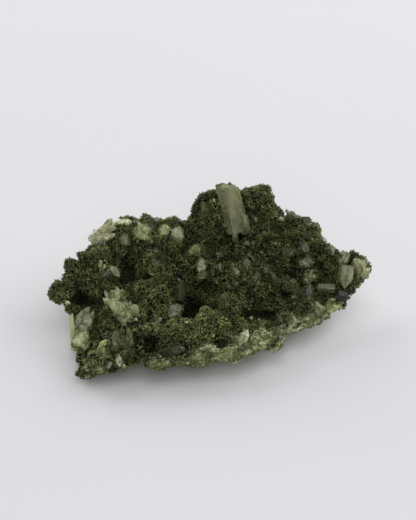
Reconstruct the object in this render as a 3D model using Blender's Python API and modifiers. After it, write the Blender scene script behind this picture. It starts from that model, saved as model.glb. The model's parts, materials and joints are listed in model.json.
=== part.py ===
"""Epidote crystal cluster: a slab of rock under a lumpy green crust, with quartz crystals standing in it.

Lengths below are in millimetres, with +X along the slab, +Y to its back and +Z up. The slab lies on a
flat patch of its underside at z = 0. Every quartz crystal is a piece of its own in a pocket of the rock.
"""
import math
import random

import bmesh
import bpy
import numpy as np
from mathutils import Euler, Matrix, Vector, noise

MM = 0.001

# The slab's outline seen from above, from the left tip round the front to the right tip and back
OUTLINE = [
    (-55, -3), (-52, -8), (-50, -17), (-49, -27), (-49, -34), (-42, -36), (-32, -36), (-22, -35.5),
    (-13, -35), (-3, -36), (6, -34.5), (13, -30.5), (18.5, -27), (26, -22.5), (33, -19.5), (38.5, -14.5),
    (44, -9), (49.5, -6), (53, -0.5), (55, 5.5), (60.5, 9), (54.5, 11.5), (50, 13.5), (45, 17), (40, 22),
    (35, 25.5), (28, 27), (14, 28), (-8, 26), (-22, 26.5), (-34, 26), (-40, 21.5), (-44.5, 16.5), (-47, 10),
    (-52, 4),
]

# Spot heights (x, y, z) of the crusted upper face, before its lumps
TOP_SPOTS = [
    (-54, -1, 15), (-50, 3, 17), (-44, 10, 20), (-50, -9, 9), (-49, -20, 6), (-47, -30, 4),
    (-36, -33.5, 7), (-36, -22, 8), (-41, -12, 11), (-32, -9, 13), (-31, 11, 12), (-22, -1, 16),
    (-26, -25, 9), (-20, -31.5, 9), (-10, -22, 12), (-7, -4, 6), (1, -18, 13), (7, -9, 14), (-2, -32.5, 8),
    (8, -27.5, 10), (14, -9, 7), (20, -19.5, 9), (24, -8, 11), (30, -14.5, 8.5), (36, -4, 10),
    (45, -1.5, 8.5), (50, 5, 13), (34, -18.5, 10.5), (40, -14, 10.5), (58, 9, 16), (41, 9, 16),
    (30, 8, 16), (22, 3, 16), (8, 8, 17), (-5, 13, 20), (-18, 14, 20), (-36, 20, 24), (-20, 24, 26.5),
    (-6, 24, 27), (8, 17, 23), (22, 18, 24), (35, 20, 26), (38, 23, 25), (48, 13, 21), (30, 25, 28),
    (10, 27, 28),
]

# Spot heights of the underside: what comes out below zero is cut flat, for the slab to lie on
FOOT_SPOTS = [
    (-56, -2, 9), (-51, -12, 4), (-49, -31, 1), (-35, -36, 6.5), (-20, -34.5, 7), (-4, -35, 6.5),
    (11, -32, 8), (24, -22.5, 7), (34, -18, 8), (42, -11.5, 8), (51, -3, 8), (60, 10, 10), (46, 15, 7),
    (38, 25, 8), (20, 28, 7), (0, 27, 6), (-22, 27, 6), (-38, 22, 8), (-47, 9, 9), (-36, -16, -2.5),
    (-18, -14, -3), (0, -14, -3), (16, -9, -2.5), (30, 3, -2), (0, 4, -3), (-20, 5, -3), (-36, 3, -1.5),
    (10, 16, -2.5), (-12, 16, -2.5),
]

SLAB_DEPTH = 20         # height of the plain slab that the spot heights then bend
UNDERCUT = 0.10         # share by which the slab's lowest layer draws in from its outline

# Ellipsoid lumps (x, y, z, x radius, y radius, z radius) that give the crust its main masses
MASSES = [
    (11, 19, 21, 19, 10, 7), (10.5, 22, 27, 15, 8, 10), (4.5, 23, 36, 9, 6, 7), (16.5, 24, 34, 7.5, 6, 8),
    (1, 21.5, 31, 7, 6, 9), (-54, -1.5, 14, 4, 3.5, 4), (-48, 3, 16, 5.5, 5, 4.5), (-43, 10, 19, 5, 5, 4),
    (-22, -21, 10.5, 8, 4, 3.5), (-10, -20.5, 11, 8, 4, 4), (0, -17, 12.5, 7, 4.5, 4),
    (7, -10, 13, 4.5, 6, 4), (-22, -2, 14, 8, 8, 5), (-33, -11, 11, 8, 6, 5), (-37, -20, 8, 6, 5, 4),
    (34, 19, 23, 6, 6, 5), (50, 7, 13, 6, 5, 4), (9, 6, 17, 8, 7, 4), (24, 3, 14, 8, 6, 4),
    (-3, 12, 19, 6, 5, 4), (34, -6, 8, 6, 4, 4), (11, 12.5, 24.5, 5, 3.5, 4), (-19, 12, 17, 6, 6, 4),
    (-40, -30.5, 6, 6, 4, 3), (15.5, 14.5, 28, 4, 3.5, 4),
]

# Round knobs (x, y, z, radius) on the skyline and the ridges
KNOBS = [
    (-58.2, -2.4, 14, 2.2), (-56, -4.8, 13, 2.0), (-46.6, 12, 22, 1.6), (-48, -32.5, 3, 1.8),
    (-45.5, -33.5, 2.4, 1.6), (-54.3, 2, 16.8, 2.2), (-52, 5.6, 18.6, 2.6), (-46, 10.5, 21, 2.2),
    (-2, 23, 36, 3.0), (0.5, 23.5, 39.2, 2.8), (14, 26, 40.2, 2.4), (20.5, 25.5, 41, 2.2),
    (21, 24, 37, 3.2), (18, 20, 31, 4.0), (22.5, 23, 31, 3.0), (-3.5, 21.5, 31, 3.0), (36.4, 24, 28.3, 2.0),
    (31, 25, 28, 2.2), (-2.9, 23.5, 37.6, 2.1), (25.5, 25, 28.8, 2.4), (39.4, 21, 25.5, 2.0),
    (-33, 25, 24, 2.2), (-38, 21, 23.5, 2.2), (-14, 25, 24.5, 2.2), (8, 23.5, 41, 3.0),
    (56.6, 10.6, 18.2, 2.1), (53.6, 12, 20.2, 2.2), (51, 12, 20.2, 2.1), (45, 2, 12, 2.6),
]

# Hollows (x, y, z, x radius, y radius, z radius): the central vug, the pit at its left, the crevice
# under the ledge, and the shaded recesses between the masses
HOLLOWS = [
    (-8, -5, 12, 8, 6.5, 6), (-1, -9, 13, 5, 4, 4), (-13, -1, 15, 5, 6, 5), (-31, 11, 17, 4.5, 8, 6),
    (-27, 4, 17, 4, 5, 4), (14, -8, 12, 6, 5, 4.5), (21, -9, 11, 5, 3.5, 3.5), (40, 4, 17, 5, 3, 3.5),
    (-45, -6, 14.5, 6, 3.5, 3), (-23, -27, 9.5, 6, 3, 3), (-42, -19, 10, 4, 5, 3),
    (4.5, 14, 26, 2.5, 2.5, 2.5), (28, 17, 29, 3, 4, 3), (4, -24, 10.5, 5, 2.5, 2.5), (-8, 17, 26, 4, 5, 3),
    (33, 12, 19, 5, 3, 3), (46, -2, 12, 5, 2.5, 2.5),
]

SEED = 7
LUMP_COUNT = 420        # small lumps strewn over the crust
LUMP_RADIUS = (1.3, 3.1)
LUMP_STRETCH = (0.75, 1.25)     # shortest and longest half axis as shares of the radius
LUMP_SINK = 0.25        # how deep a strewn lump sits, as a share of its radius
LUMP_ROUGHNESS = 0.22   # how far noise pushes a lump's surface in and out, as a share of its radius
LUMP_NOISE = 1.7        # how fine that noise is
LUMPS_FROM = 5          # lowest height of the strewn lumps
EDGE_BARE = 0.6         # on the front half, lumps and blades need a face whose normal has this height
BLADE_CLEAR = 6.5       # no strewn lump lies nearer than this to the front of the tall quartz blade
KNOB_STRETCH = (0.85, 1.15)
STEEPEST = -0.25        # lumps and crystals grow where the face's normal has at least this height
MASS_TURN = 0.2         # largest turn of a mass on each axis, in radians
HOLLOW_TURN = 0.3

SLAB_VOXEL = 1.6        # grids on which the slab is cut up before it is bent, the masses grow onto it,
MASS_VOXEL = 1.4        # the strewn lumps grow onto those, and the hollows run together
BODY_VOXEL = 0.9
HOLLOW_VOXEL = 1.2
MATRIX_FACES = 3950     # triangles left in the grown body

SLIVER = 0.02           # edges shorter than this are closed up after a Boolean
MEND_ROUNDS = 4         # how often a torn spot may be cut out and filled again
FLOOR_BLOCK = (200, 200, 20)    # the block below z = 0 that cuts the flat patch

BLADE_COUNT = 48        # larger epidote crystals that stand out of the crust and are one with it
BLADE_TRIES = 12        # random places looked at for each of them
BLADE_LENGTH = (1.8, 3.0)
BLADE_ROOT = 1.2
BLADE_WIDTH = (1.1, 1.9)
BLADE_FLATNESS = (0.5, 0.9)
BLADE_TIP = 0.3
BLADE_LEAN = 0.7
BLADE_SPACING = 6.5
BLADES_FROM = 4         # lowest height of the blades
BLADES_BACK = 20        # no blade stands behind this, on the skyline

GAP = 0.3               # space between a quartz crystal and its pocket in the crust
ROOT = 3.0              # how deep a quartz crystal stands in the crust
TAPER = 0.94            # width of a crystal's upper end as a share of its foot
POINT = 0.32            # height of a crystal's point as a share of its length
POINT_LEAN = 0.12       # how far the point may lie off the middle, as a share of the width
END_SLOPE = 0.35        # steepest slope of a blunt crystal's end face
END_DRAW = 0.9          # width of that face as a share of the crystal's
SHARD_POINTS = 11       # corners from which a broken piece is made
SHARD_JITTER = 0.3      # how far each of them may turn off its even place, in radians
GOLDEN_TURN = 2.4       # turn in radians from one to the next, which spreads things evenly round
TWIN_END = (0.25, -0.1)                 # slope of the tall blade's end face
NEIGHBOUR_ASIDE = (0.42, -0.12)         # the blade's neighbour: place as shares of the blade's width,
NEIGHBOUR_SIZE = (0.52, 0.55)           # length and width as shares of the blade's,
NEIGHBOUR_END = (-0.5, 0.2)             # and the slope of its end face
CLUSTER_LEAN = (0.35, 0.6)              # how far the outer crystals of a cluster lean out, in radians
CLUSTER_SIZE = (0.75, 1.05)             # their size as a share of the cluster's
CLUSTER_POINT = 0.35                    # height of their points as a share of their length
CLUSTER_ASIDE = 0.3                     # how far aside they start,
CLUSTER_SLIM = 0.85                     # how slim they are
CLUSTER_FOOT = 0.8                      # and how deep they stand, all as shares
POINT_GAP = 1.5                         # room over a pocket's point, as a share of the room at its sides
ALONG_Y = 0.05                          # below this, a direction counts as running along Y

# The quartz crystals: kind, place where the crystal leaves the crust, direction that it points in,
# length above the crust, width, depth as a share of the width, and turn about its own length in degrees
QUARTZ = {
    "quartz_blade": ("twin", (10, 14.6, 27), (-4.4, 6.5, 19.5), 22, 8.4, 0.7, 0, "clear"),
    "quartz_dark_point": ("prism", (-2.5, 19.5, 39), (-0.2, -0.5, 1), 4.0, 3.4, 0.9, 10, "smoky"),
    "quartz_green_block": ("blunt", (-4.7, 14, 22), (-0.6, -0.5, 0.8), 4.5, 6.8, 0.7, 30, "smoky"),
    "quartz_white_spark": ("prism", (-3.4, 9, 19.5), (0.1, -0.6, 1), 4.5, 4.4, 0.9, 0, "milky"),
    "quartz_under_spark": ("blunt", (-3, 5.2, 17), (0.3, -0.8, 0.6), 3.0, 3.8, 0.8, 15, "smoky"),
    "quartz_slope_knob": ("blunt", (28.8, 13, 22), (0.2, -0.7, 0.7), 2.4, 3.6, 1.0, 0, "stained"),
    "quartz_slope_point": ("prism", (35, 13.6, 23.5), (0, -0.8, 0.5), 2.6, 3.2, 0.9, 0, "milky"),
    "quartz_slope_chip": ("shard", (13.2, 6, 21.5), (0.4, -0.4, 0.8), 2.6, 3.6, 0.8, 0, "clear"),
    "quartz_slope_bead": ("blunt", (9, 2.8, 20.5), (0, -0.7, 0.7), 2.2, 3.2, 1.0, 0, "stained"),
    "quartz_slope_block": ("blunt", (17.6, 5, 18.4), (0.2, -0.6, 0.8), 3.4, 5.6, 0.8, 10, "smoky"),
    "quartz_slope_bar": ("prism", (23.8, 2.6, 18.4), (0.4, -0.5, 0.8), 4.0, 3.4, 0.8, 0, "clear"),
    "quartz_right_block": ("blunt", (36.5, 12, 18), (0.1, -0.8, 0.8), 3.4, 6.0, 0.8, 25, "milky"),
    "quartz_right_wedge": ("prism", (37.8, 6.8, 14.8), (0.2, -0.7, 0.8), 4.2, 6.4, 0.8, 40, "stained"),
    "quartz_right_point": ("prism", (50.4, 7.0, 19.2), (-0.1, -1.0, -0.62), 8.2, 6.4, 0.85, 0, "clear"),
    "quartz_right_tuft": ("cluster", (49.8, 12.8, 19.4), (0.0, 0.2, 1), 2.8, 2.4, 0.8, 0, "milky"),
    "quartz_right_bar": ("prism", (41.2, 1, 14), (1, -0.25, 0.1), 5.6, 4.6, 0.8, 0, "smoky"),
    "quartz_right_facet": ("blunt", (48.2, -1.4, 12.4), (0.3, -0.9, 0.4), 2.6, 5.2, 0.7, 0, "smoky"),
    "quartz_right_grain": ("shard", (36.6, 0, 13), (0.4, -0.6, 0.7), 2.4, 3.2, 0.9, 0, "milky"),
    "quartz_right_tip": ("shard", (56.7, 9.7, 17.8), (0.9, -0.1, 0.35), 4.0, 7.4, 0.7, 0, "clear"),
    "quartz_front_right_tuft": ("cluster", (47.2, -5.2, 10.6), (0.2, -0.7, 0.5), 3.0, 4.6, 0.8, 0, "stained"),
    "quartz_front_right_block": ("blunt", (40, -7.6, 11), (0.1, -0.7, 0.7), 3.0, 5.8, 0.8, 30, "stained"),
    "quartz_front_flake": ("shard", (28.8, -8.4, 10.4), (0.1, -0.3, 0.9), 2.2, 5.0, 0.5, 0, "smoky"),
    "quartz_front_wedge": ("blunt", (30.6, -14, 10.4), (0, -0.7, 0.6), 3.0, 5.6, 0.8, 15, "stained"),
    "quartz_front_shard": ("prism", (11.8, -21.4, 10.8), (0.5, -0.35, 0.9), 5.2, 5.2, 0.6, 30, "milky"),
    "quartz_left_pebble": ("blunt", (-36.7, 8, 17.2), (0.5, -0.4, 0.8), 2.6, 4.4, 0.8, 0, "clear"),
    "quartz_left_flake": ("shard", (-39.6, 4.2, 19), (-0.1, -0.7, 0.7), 2.2, 4.0, 0.6, 0, "milky"),
    "quartz_left_cluster": ("spray", (-32.4, -9.8, 15), (-0.1, -0.45, 0.9), 6.4, 6.4, 0.8, 0, "stained"),
    "quartz_vug_square": ("blunt", (-13.6, -8.8, 11), (0.2, -0.5, 0.9), 4.0, 5.8, 0.9, 45, "milky"),
    "quartz_vug_grain": ("shard", (-19.6, -13.6, 12.6), (0, -0.4, 0.9), 2.2, 3.4, 0.8, 0, "milky"),
    "quartz_vug_back": ("prism", (-11, 2.4, 13), (0.3, -0.7, 0.4), 5.0, 6.0, 0.7, 0, "smoky"),
    "quartz_left_wall_top": ("cluster", (-47, -12.2, 9), (-0.2, -0.3, 0.8), 3.4, 4.0, 0.8, 0, "milky"),
    "quartz_left_wall_low": ("blunt", (-47, -20.6, 7.6), (-0.5, -0.5, 0.7), 3.6, 5.8, 0.8, 20, "stained"),
    "quartz_left_sliver": ("prism", (-50.6, -10.6, 10.6), (-0.06, -0.85, -0.55), 11, 2.8, 0.6, 0, "clear"),
    "quartz_fibrous": ("cluster", (-31.4, -21.4, 10), (0.1, -0.6, 0.8), 3.8, 4.4, 0.8, 0, "clear"),
    "quartz_corner_shard": ("prism", (-39.6, -24.6, 9.6), (-0.1, -0.5, 0.9), 4.2, 4.0, 0.7, 20, "clear"),
    "quartz_corner_knob": ("blunt", (-38.8, -29.5, 9.8), (0, -0.5, 0.8), 2.6, 3.8, 0.9, 0, "smoky"),
    "quartz_corner_oval": ("blunt", (-33, -31.6, 8), (0.1, -0.8, 0.5), 2.4, 3.4, 0.9, 0, "milky"),
    "quartz_front_bar": ("prism", (-14.4, -28.4, 10.6), (1, -0.3, 0.16), 6.0, 4.4, 0.8, 0, "smoky"),
    "quartz_rim_cap": ("shard", (-33.4, 24.6, 27.4), (0, 0.1, 1), 2.4, 6.4, 0.6, 0, "milky"),
    "quartz_rim_left": ("spray", (-41.8, 19.6, 24.2), (-0.5, 0.3, 0.9), 3.4, 5.0, 0.8, 0, "milky"),
    "quartz_rim_chip": ("blunt", (-33, 18.6, 22.8), (0.1, -0.6, 0.8), 2.4, 4.4, 0.8, 0, "clear"),
    "quartz_rim_knob_a": ("blunt", (-25.6, 22, 26), (-0.1, -0.5, 0.9), 3.0, 6.4, 0.8, 10, "stained"),
    "quartz_rim_knob_b": ("blunt", (-17.3, 22, 25.5), (0, -0.5, 0.9), 2.6, 4.4, 0.9, 0, "smoky"),
    "quartz_rim_knob_c": ("blunt", (-12.8, 20.8, 25), (0.1, -0.5, 0.9), 3.0, 5.2, 0.9, 30, "milky"),
    "quartz_shoulder_flake": ("shard", (31.2, 24.5, 30.6), (0, -0.2, 1), 1.8, 4.8, 0.5, 0, "milky"),
    "quartz_shoulder_block": ("blunt", (36.8, 23, 29), (0.1, -0.4, 0.9), 2.6, 5.2, 0.9, 20, "clear"),
}
CLUSTER_SIZES = {"cluster": 3, "spray": 4}      # crystals that have grown together in one piece

# Base colour, roughness and see-through share of each finish
FINISHES = {
    "epidote": ((0.045, 0.065, 0.025), 0.55, 0.0),
    "clear": ((0.72, 0.75, 0.68), 0.12, 0.9),
    "milky": ((0.78, 0.78, 0.72), 0.25, 0.5),
    "smoky": ((0.42, 0.47, 0.36), 0.18, 0.7),
    "stained": ((0.60, 0.64, 0.38), 0.25, 0.5),
}


def clear_scene():
    """Empty the scene."""
    for old in list(bpy.data.objects):
        bpy.data.objects.remove(old, do_unlink=True)


def new_object(name, data, collection):
    """An object for a mesh or curve, in a collection."""
    made = bpy.data.objects.new(name, data)
    collection.objects.link(made)
    return made


def finish_mesh(name, bm):
    """Turn a working mesh into a kept one, with its faces pointing out."""
    bmesh.ops.recalc_face_normals(bm, faces=bm.faces)
    mesh = bpy.data.meshes.new(name)
    bm.to_mesh(mesh)
    bm.free()
    return mesh


def evaluated_copy(source, name, collection):
    """A plain object with the shape that an object's modifiers give it."""
    graph = bpy.context.evaluated_depsgraph_get()
    mesh = bpy.data.meshes.new_from_object(source.evaluated_get(graph))
    return new_object(name, mesh, collection)


def hide_cutter(cutter):
    """Mark an object as a cutter: drawn as wire and left out of renders."""
    cutter.hide_render = True
    cutter.display_type = "WIRE"


def principled(name, colour, roughness, transmission):
    """A Principled material with a plain colour, roughness and see-through share."""
    made = bpy.data.materials.new(name)
    made.use_nodes = True
    shader = made.node_tree.nodes["Principled BSDF"]
    shader.inputs["Base Color"].default_value = (*colour, 1.0)
    shader.inputs["Roughness"].default_value = roughness
    shader.inputs["Metallic"].default_value = 0.0
    shader.inputs["Transmission Weight"].default_value = transmission
    return made


def spline_heights(spots):
    """The thin-plate surface through spot heights, as a function of arrays x and y."""
    known = np.array(spots, float)
    centres = known[:, :2]

    def kernel(points):
        squared = ((points[:, None, :] - centres[None, :, :]) ** 2).sum(2)
        return 0.5 * squared * np.log(squared + 1e-9)

    count = len(known)
    system = np.zeros((count + 3, count + 3))
    system[:count, :count] = kernel(centres)
    system[:count, count] = 1
    system[:count, count + 1:] = centres
    system[count:, :count] = system[:count, count:].T
    weights = np.linalg.solve(system, np.append(known[:, 2], np.zeros(3)))

    def height(x, y):
        points = np.stack([x, y], axis=1)
        plane = weights[count] + points @ weights[count + 1:]
        return kernel(points) @ weights[:count] + plane

    return height


TOP_HEIGHT = spline_heights(TOP_SPOTS)
FOOT_HEIGHT = spline_heights(FOOT_SPOTS)


def make_slab(collection):
    """The slab: its outline raised to a plate, then bent to the spot heights of its two faces."""
    curve = bpy.data.curves.new("slab_outline", "CURVE")
    curve.dimensions = "2D"
    curve.fill_mode = "BOTH"
    curve.extrude = SLAB_DEPTH / 2 * MM
    spline = curve.splines.new("POLY")
    spline.points.add(len(OUTLINE) - 1)
    for point, (x, y) in zip(spline.points, OUTLINE):
        point.co = (x * MM, y * MM, 0, 1)
    spline.use_cyclic_u = True
    plate = new_object("plate", curve, collection)
    plate.location.z = SLAB_DEPTH / 2 * MM
    flat = evaluated_copy(plate, "flat_plate", collection)
    flat.data.transform(Matrix.Translation((0, 0, SLAB_DEPTH / 2 * MM)))
    weld_mesh(flat.data)
    remesh(flat, SLAB_VOXEL)
    slab = evaluated_copy(flat, "slab", collection)
    for used in (plate, flat):
        bpy.data.objects.remove(used)
    points = np.empty(len(slab.data.vertices) * 3)
    slab.data.vertices.foreach_get("co", points)
    points = points.reshape(-1, 3) / MM
    level = np.clip(points[:, 2] / SLAB_DEPTH, 0, 1)
    drawn_in = 1 - UNDERCUT * (1 - level) ** 2
    x = points[:, 0] * drawn_in
    y = points[:, 1] * drawn_in
    top = TOP_HEIGHT(points[:, 0], points[:, 1])
    foot = FOOT_HEIGHT(points[:, 0], points[:, 1])
    z = foot + (top - foot) * level
    slab.data.vertices.foreach_set("co", (np.stack([x, y, z], axis=1) * MM).ravel())
    return slab


def weld_mesh(mesh):
    """Join the points of a mesh that lie in one place."""
    bm = bmesh.new()
    bm.from_mesh(mesh)
    bmesh.ops.remove_doubles(bm, verts=bm.verts, dist=0.00001)
    bmesh.ops.recalc_face_normals(bm, faces=bm.faces)
    bm.to_mesh(mesh)
    bm.free()


def largest_piece(bm):
    """Delete every bit of a working mesh that no edge joins to its largest piece."""
    left = set(bm.faces)
    pieces = []
    while left:
        piece = {left.pop()}
        rim = list(piece)
        while rim:
            near = {f for face in rim for e in face.edges for f in e.link_faces} - piece
            piece |= near
            rim = list(near)
        left -= piece
        pieces.append(piece)
    pieces.sort(key=len)
    loose = [face for piece in pieces[:-1] for face in piece]
    bmesh.ops.delete(bm, geom=loose, context="FACES")


def cleaned_copy(source, name, collection):
    """A plain object with the shape that an object's modifiers give it, without slivers and loose bits."""
    made = evaluated_copy(source, name, collection)
    bm = bmesh.new()
    bm.from_mesh(made.data)
    bmesh.ops.triangulate(bm, faces=bm.faces)
    bmesh.ops.dissolve_degenerate(bm, dist=SLIVER * MM, edges=bm.edges)
    for _ in range(MEND_ROUNDS):
        torn = {f for e in bm.edges if len(e.link_faces) != 2 for v in e.verts for f in v.link_faces}
        if not torn:
            break
        bmesh.ops.delete(bm, geom=list(torn), context="FACES")
        bmesh.ops.holes_fill(bm, edges=[e for e in bm.edges if e.is_boundary])
    bmesh.ops.triangulate(bm, faces=bm.faces)
    largest_piece(bm)
    bm.to_mesh(made.data)
    bm.free()
    return made


def remesh(target, voxel):
    """A live voxel remesh on an object, with its grid in millimetres."""
    grown = target.modifiers.new("grown_together", "REMESH")
    grown.mode = "VOXEL"
    grown.voxel_size = voxel * MM
    grown.adaptivity = 0


def add_lump(bm, place, radii, turn):
    """One rough ellipsoid lump, its surface pushed in and out by noise."""
    made = bmesh.ops.create_icosphere(bm, subdivisions=3, radius=1.0)["verts"]
    for vert in made:
        vert.co *= 1 + LUMP_ROUGHNESS * noise.noise(vert.co * LUMP_NOISE + Vector(place))
    scale = Matrix.Diagonal((*radii, 1))
    bmesh.ops.transform(bm, verts=made, matrix=Matrix.Translation(place) @ turn.to_matrix().to_4x4() @ scale)


def random_turn(draw, most=math.pi):
    """A random rotation of up to a given angle on each axis."""
    return Euler([draw.uniform(-most, most) for _ in range(3)])


def to_metres(bm):
    """Bring a working mesh from millimetres to metres."""
    bmesh.ops.scale(bm, vec=(MM, MM, MM), verts=bm.verts)


def make_masses(draw):
    """The masses and the knobs of the crust, as a working mesh in metres."""
    bm = bmesh.new()
    for x, y, z, rx, ry, rz in MASSES:
        add_lump(bm, (x, y, z), (rx, ry, rz), random_turn(draw, MASS_TURN))
    for x, y, z, radius in KNOBS:
        radii = [radius * draw.uniform(*KNOB_STRETCH) for _ in range(3)]
        add_lump(bm, (x, y, z), radii, random_turn(draw))
    to_metres(bm)
    return bm


def before_blade(spot):
    """Whether a spot given in millimetres lies close before the tall quartz blade."""
    _, foot, direction, length, *_ = QUARTZ["quartz_blade"]
    along = Vector(direction).normalized()
    reach = min(max((spot - Vector(foot)).dot(along), 0), length)
    nearest = Vector(foot) + along * reach
    return spot.y < nearest.y and (spot - nearest).length < BLADE_CLEAR and reach > 0


def on_front_face(place, normal):
    """Whether a place lies on the steep broken face of the front edge."""
    return place.y < 0 and normal.z < EDGE_BARE


def make_strewn_lumps(places, draw):
    """The small lumps at the places and normals given, as a working mesh in metres."""
    bm = bmesh.new()
    for place, normal in places:
        if before_blade(place / MM) or on_front_face(place, normal):
            continue
        radius = draw.uniform(*LUMP_RADIUS)
        radii = [radius * draw.uniform(*LUMP_STRETCH) for _ in range(3)]
        add_lump(bm, place / MM - normal * radius * LUMP_SINK, radii, random_turn(draw))
    to_metres(bm)
    return bm


def scatter_on(mesh, count, draw, lowest):
    """Random places and normals on the faces of a mesh that lie above a height and aren't too steep."""
    surface = bmesh.new()
    surface.from_mesh(mesh)
    faces = [f for f in surface.faces if f.normal.z > STEEPEST and f.calc_center_median().z > lowest * MM]
    areas = np.cumsum([f.calc_area() for f in faces])
    places = []
    for _ in range(count):
        face = faces[int(np.searchsorted(areas, draw.uniform(0, areas[-1])))]
        corners = [v.co for v in face.verts]
        shares = [draw.random() for _ in corners]
        place = sum((c * s for c, s in zip(corners, shares)), Vector()) / sum(shares)
        places.append((place, face.normal.copy()))
    surface.free()
    return places


def grow_body(collection):
    """Slab, masses, knobs and strewn lumps grown into one body."""
    draw = random.Random(SEED)
    slab = make_slab(collection)
    masses = make_masses(draw)
    masses.from_mesh(slab.data)
    first = new_object("first_growth", finish_mesh("first_growth", masses), collection)
    remesh(first, MASS_VOXEL)
    rough = evaluated_copy(first, "rough_body", collection)
    places = scatter_on(rough.data, LUMP_COUNT, draw, LUMPS_FROM)
    strewn = make_strewn_lumps(places, draw)
    strewn.from_mesh(rough.data)
    body = new_object("body", finish_mesh("body", strewn), collection)
    remesh(body, BODY_VOXEL)
    for used in (slab, first, rough):
        bpy.data.objects.remove(used)
    return body


def make_hollows(collection, draw):
    """The hollows as one cutter."""
    bm = bmesh.new()
    for x, y, z, rx, ry, rz in HOLLOWS:
        add_lump(bm, (x, y, z), (rx, ry, rz), random_turn(draw, HOLLOW_TURN))
    to_metres(bm)
    hollows = new_object("hollows", finish_mesh("hollows", bm), collection)
    remesh(hollows, HOLLOW_VOXEL)
    cutter = evaluated_copy(hollows, "hollow_cutter", collection)
    bpy.data.objects.remove(hollows)
    hide_cutter(cutter)
    return cutter


def cut(target, cutter, operation="DIFFERENCE"):
    """A live Boolean on an object."""
    step = target.modifiers.new(operation.lower(), "BOOLEAN")
    step.operation = operation
    step.object = cutter
    step.solver = "EXACT"


def make_floor_cutter(collection):
    """A block below z = 0, which gives the underside its flat patch."""
    bm = bmesh.new()
    bmesh.ops.create_cube(bm, size=1)
    bmesh.ops.scale(bm, vec=FLOOR_BLOCK, verts=bm.verts)
    bmesh.ops.translate(bm, vec=(0, 0, -FLOOR_BLOCK[2] / 2), verts=bm.verts)
    to_metres(bm)
    cutter = new_object("floor_cutter", finish_mesh("floor_cutter", bm), collection)
    hide_cutter(cutter)
    return cutter


def frame_along(place, direction, roll=0.0):
    """The matrix that stands a shape along a direction at a place given in millimetres."""
    along = Vector(direction).normalized()
    side = Vector((0, 1, 0)).cross(along)
    if side.length < ALONG_Y:
        side = Vector((1, 0, 0))
    side.normalize()
    upright = Matrix((side, along.cross(side), along)).transposed().to_4x4()
    return Matrix.Translation(place) @ upright @ Matrix.Rotation(math.radians(roll), 4, "Z")


def add_prism(bm, foot, length, width, flatness, sides=6, tip=POINT, slant=(0.0, 0.0)):
    """A crystal along +Z: a slightly tapered prism from -foot to length, ending in a point or a slanted face.

    tip is the point's height as a share of the length, and slant moves the point sideways. With no tip,
    slant tilts the end face instead.
    """
    body = length * (1 - tip)
    made = bmesh.ops.create_cone(
        bm, cap_ends=True, segments=sides, radius1=width / 2, radius2=width / 2 * TAPER, depth=body + foot
    )["verts"]
    bmesh.ops.rotate(bm, cent=(0, 0, 0), matrix=Matrix.Rotation(math.pi / 2, 3, "Z"), verts=made)
    bmesh.ops.translate(bm, vec=(0, 0, (body - foot) / 2), verts=made)
    bmesh.ops.scale(bm, vec=(1, flatness, 1), verts=made)
    upper = [v for v in made if v.co.z > (body - foot) / 2]
    if tip > 0:
        cap = next(f for f in upper[0].link_faces if all(v in upper for v in f.verts))
        point = bmesh.ops.poke(bm, faces=[cap])["verts"][0]
        point.co += Vector((slant[0] * width, slant[1] * width, length * tip))
        made.append(point)
    else:
        for vert in upper:
            vert.co.z += slant[0] * vert.co.x + slant[1] * vert.co.y
            vert.co.x *= END_DRAW
            vert.co.y *= END_DRAW
    return made


def add_shard(bm, foot, length, width, flatness, draw, grow):
    """A broken piece along +Z: the hull of points strewn on a flattened ellipsoid."""
    points = []
    for step in range(SHARD_POINTS):
        level = -1 + 2 * (step + 0.5) / SHARD_POINTS
        angle = step * GOLDEN_TURN + draw.uniform(-SHARD_JITTER, SHARD_JITTER)
        ring = math.sqrt(1 - level * level) * draw.uniform(*KNOB_STRETCH)
        height = (length + foot) / 2 + grow
        points.append(bm.verts.new((
            ring * math.cos(angle) * (width / 2 + grow),
            ring * math.sin(angle) * (width / 2 * flatness + grow),
            level * height + (length - foot) / 2,
        )))
    hull = bmesh.ops.convex_hull(bm, input=points)
    inside = [v for v in hull["geom_interior"] if isinstance(v, bmesh.types.BMVert)]
    bmesh.ops.delete(bm, geom=inside, context="VERTS")
    return [v for v in points if v.is_valid]


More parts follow.
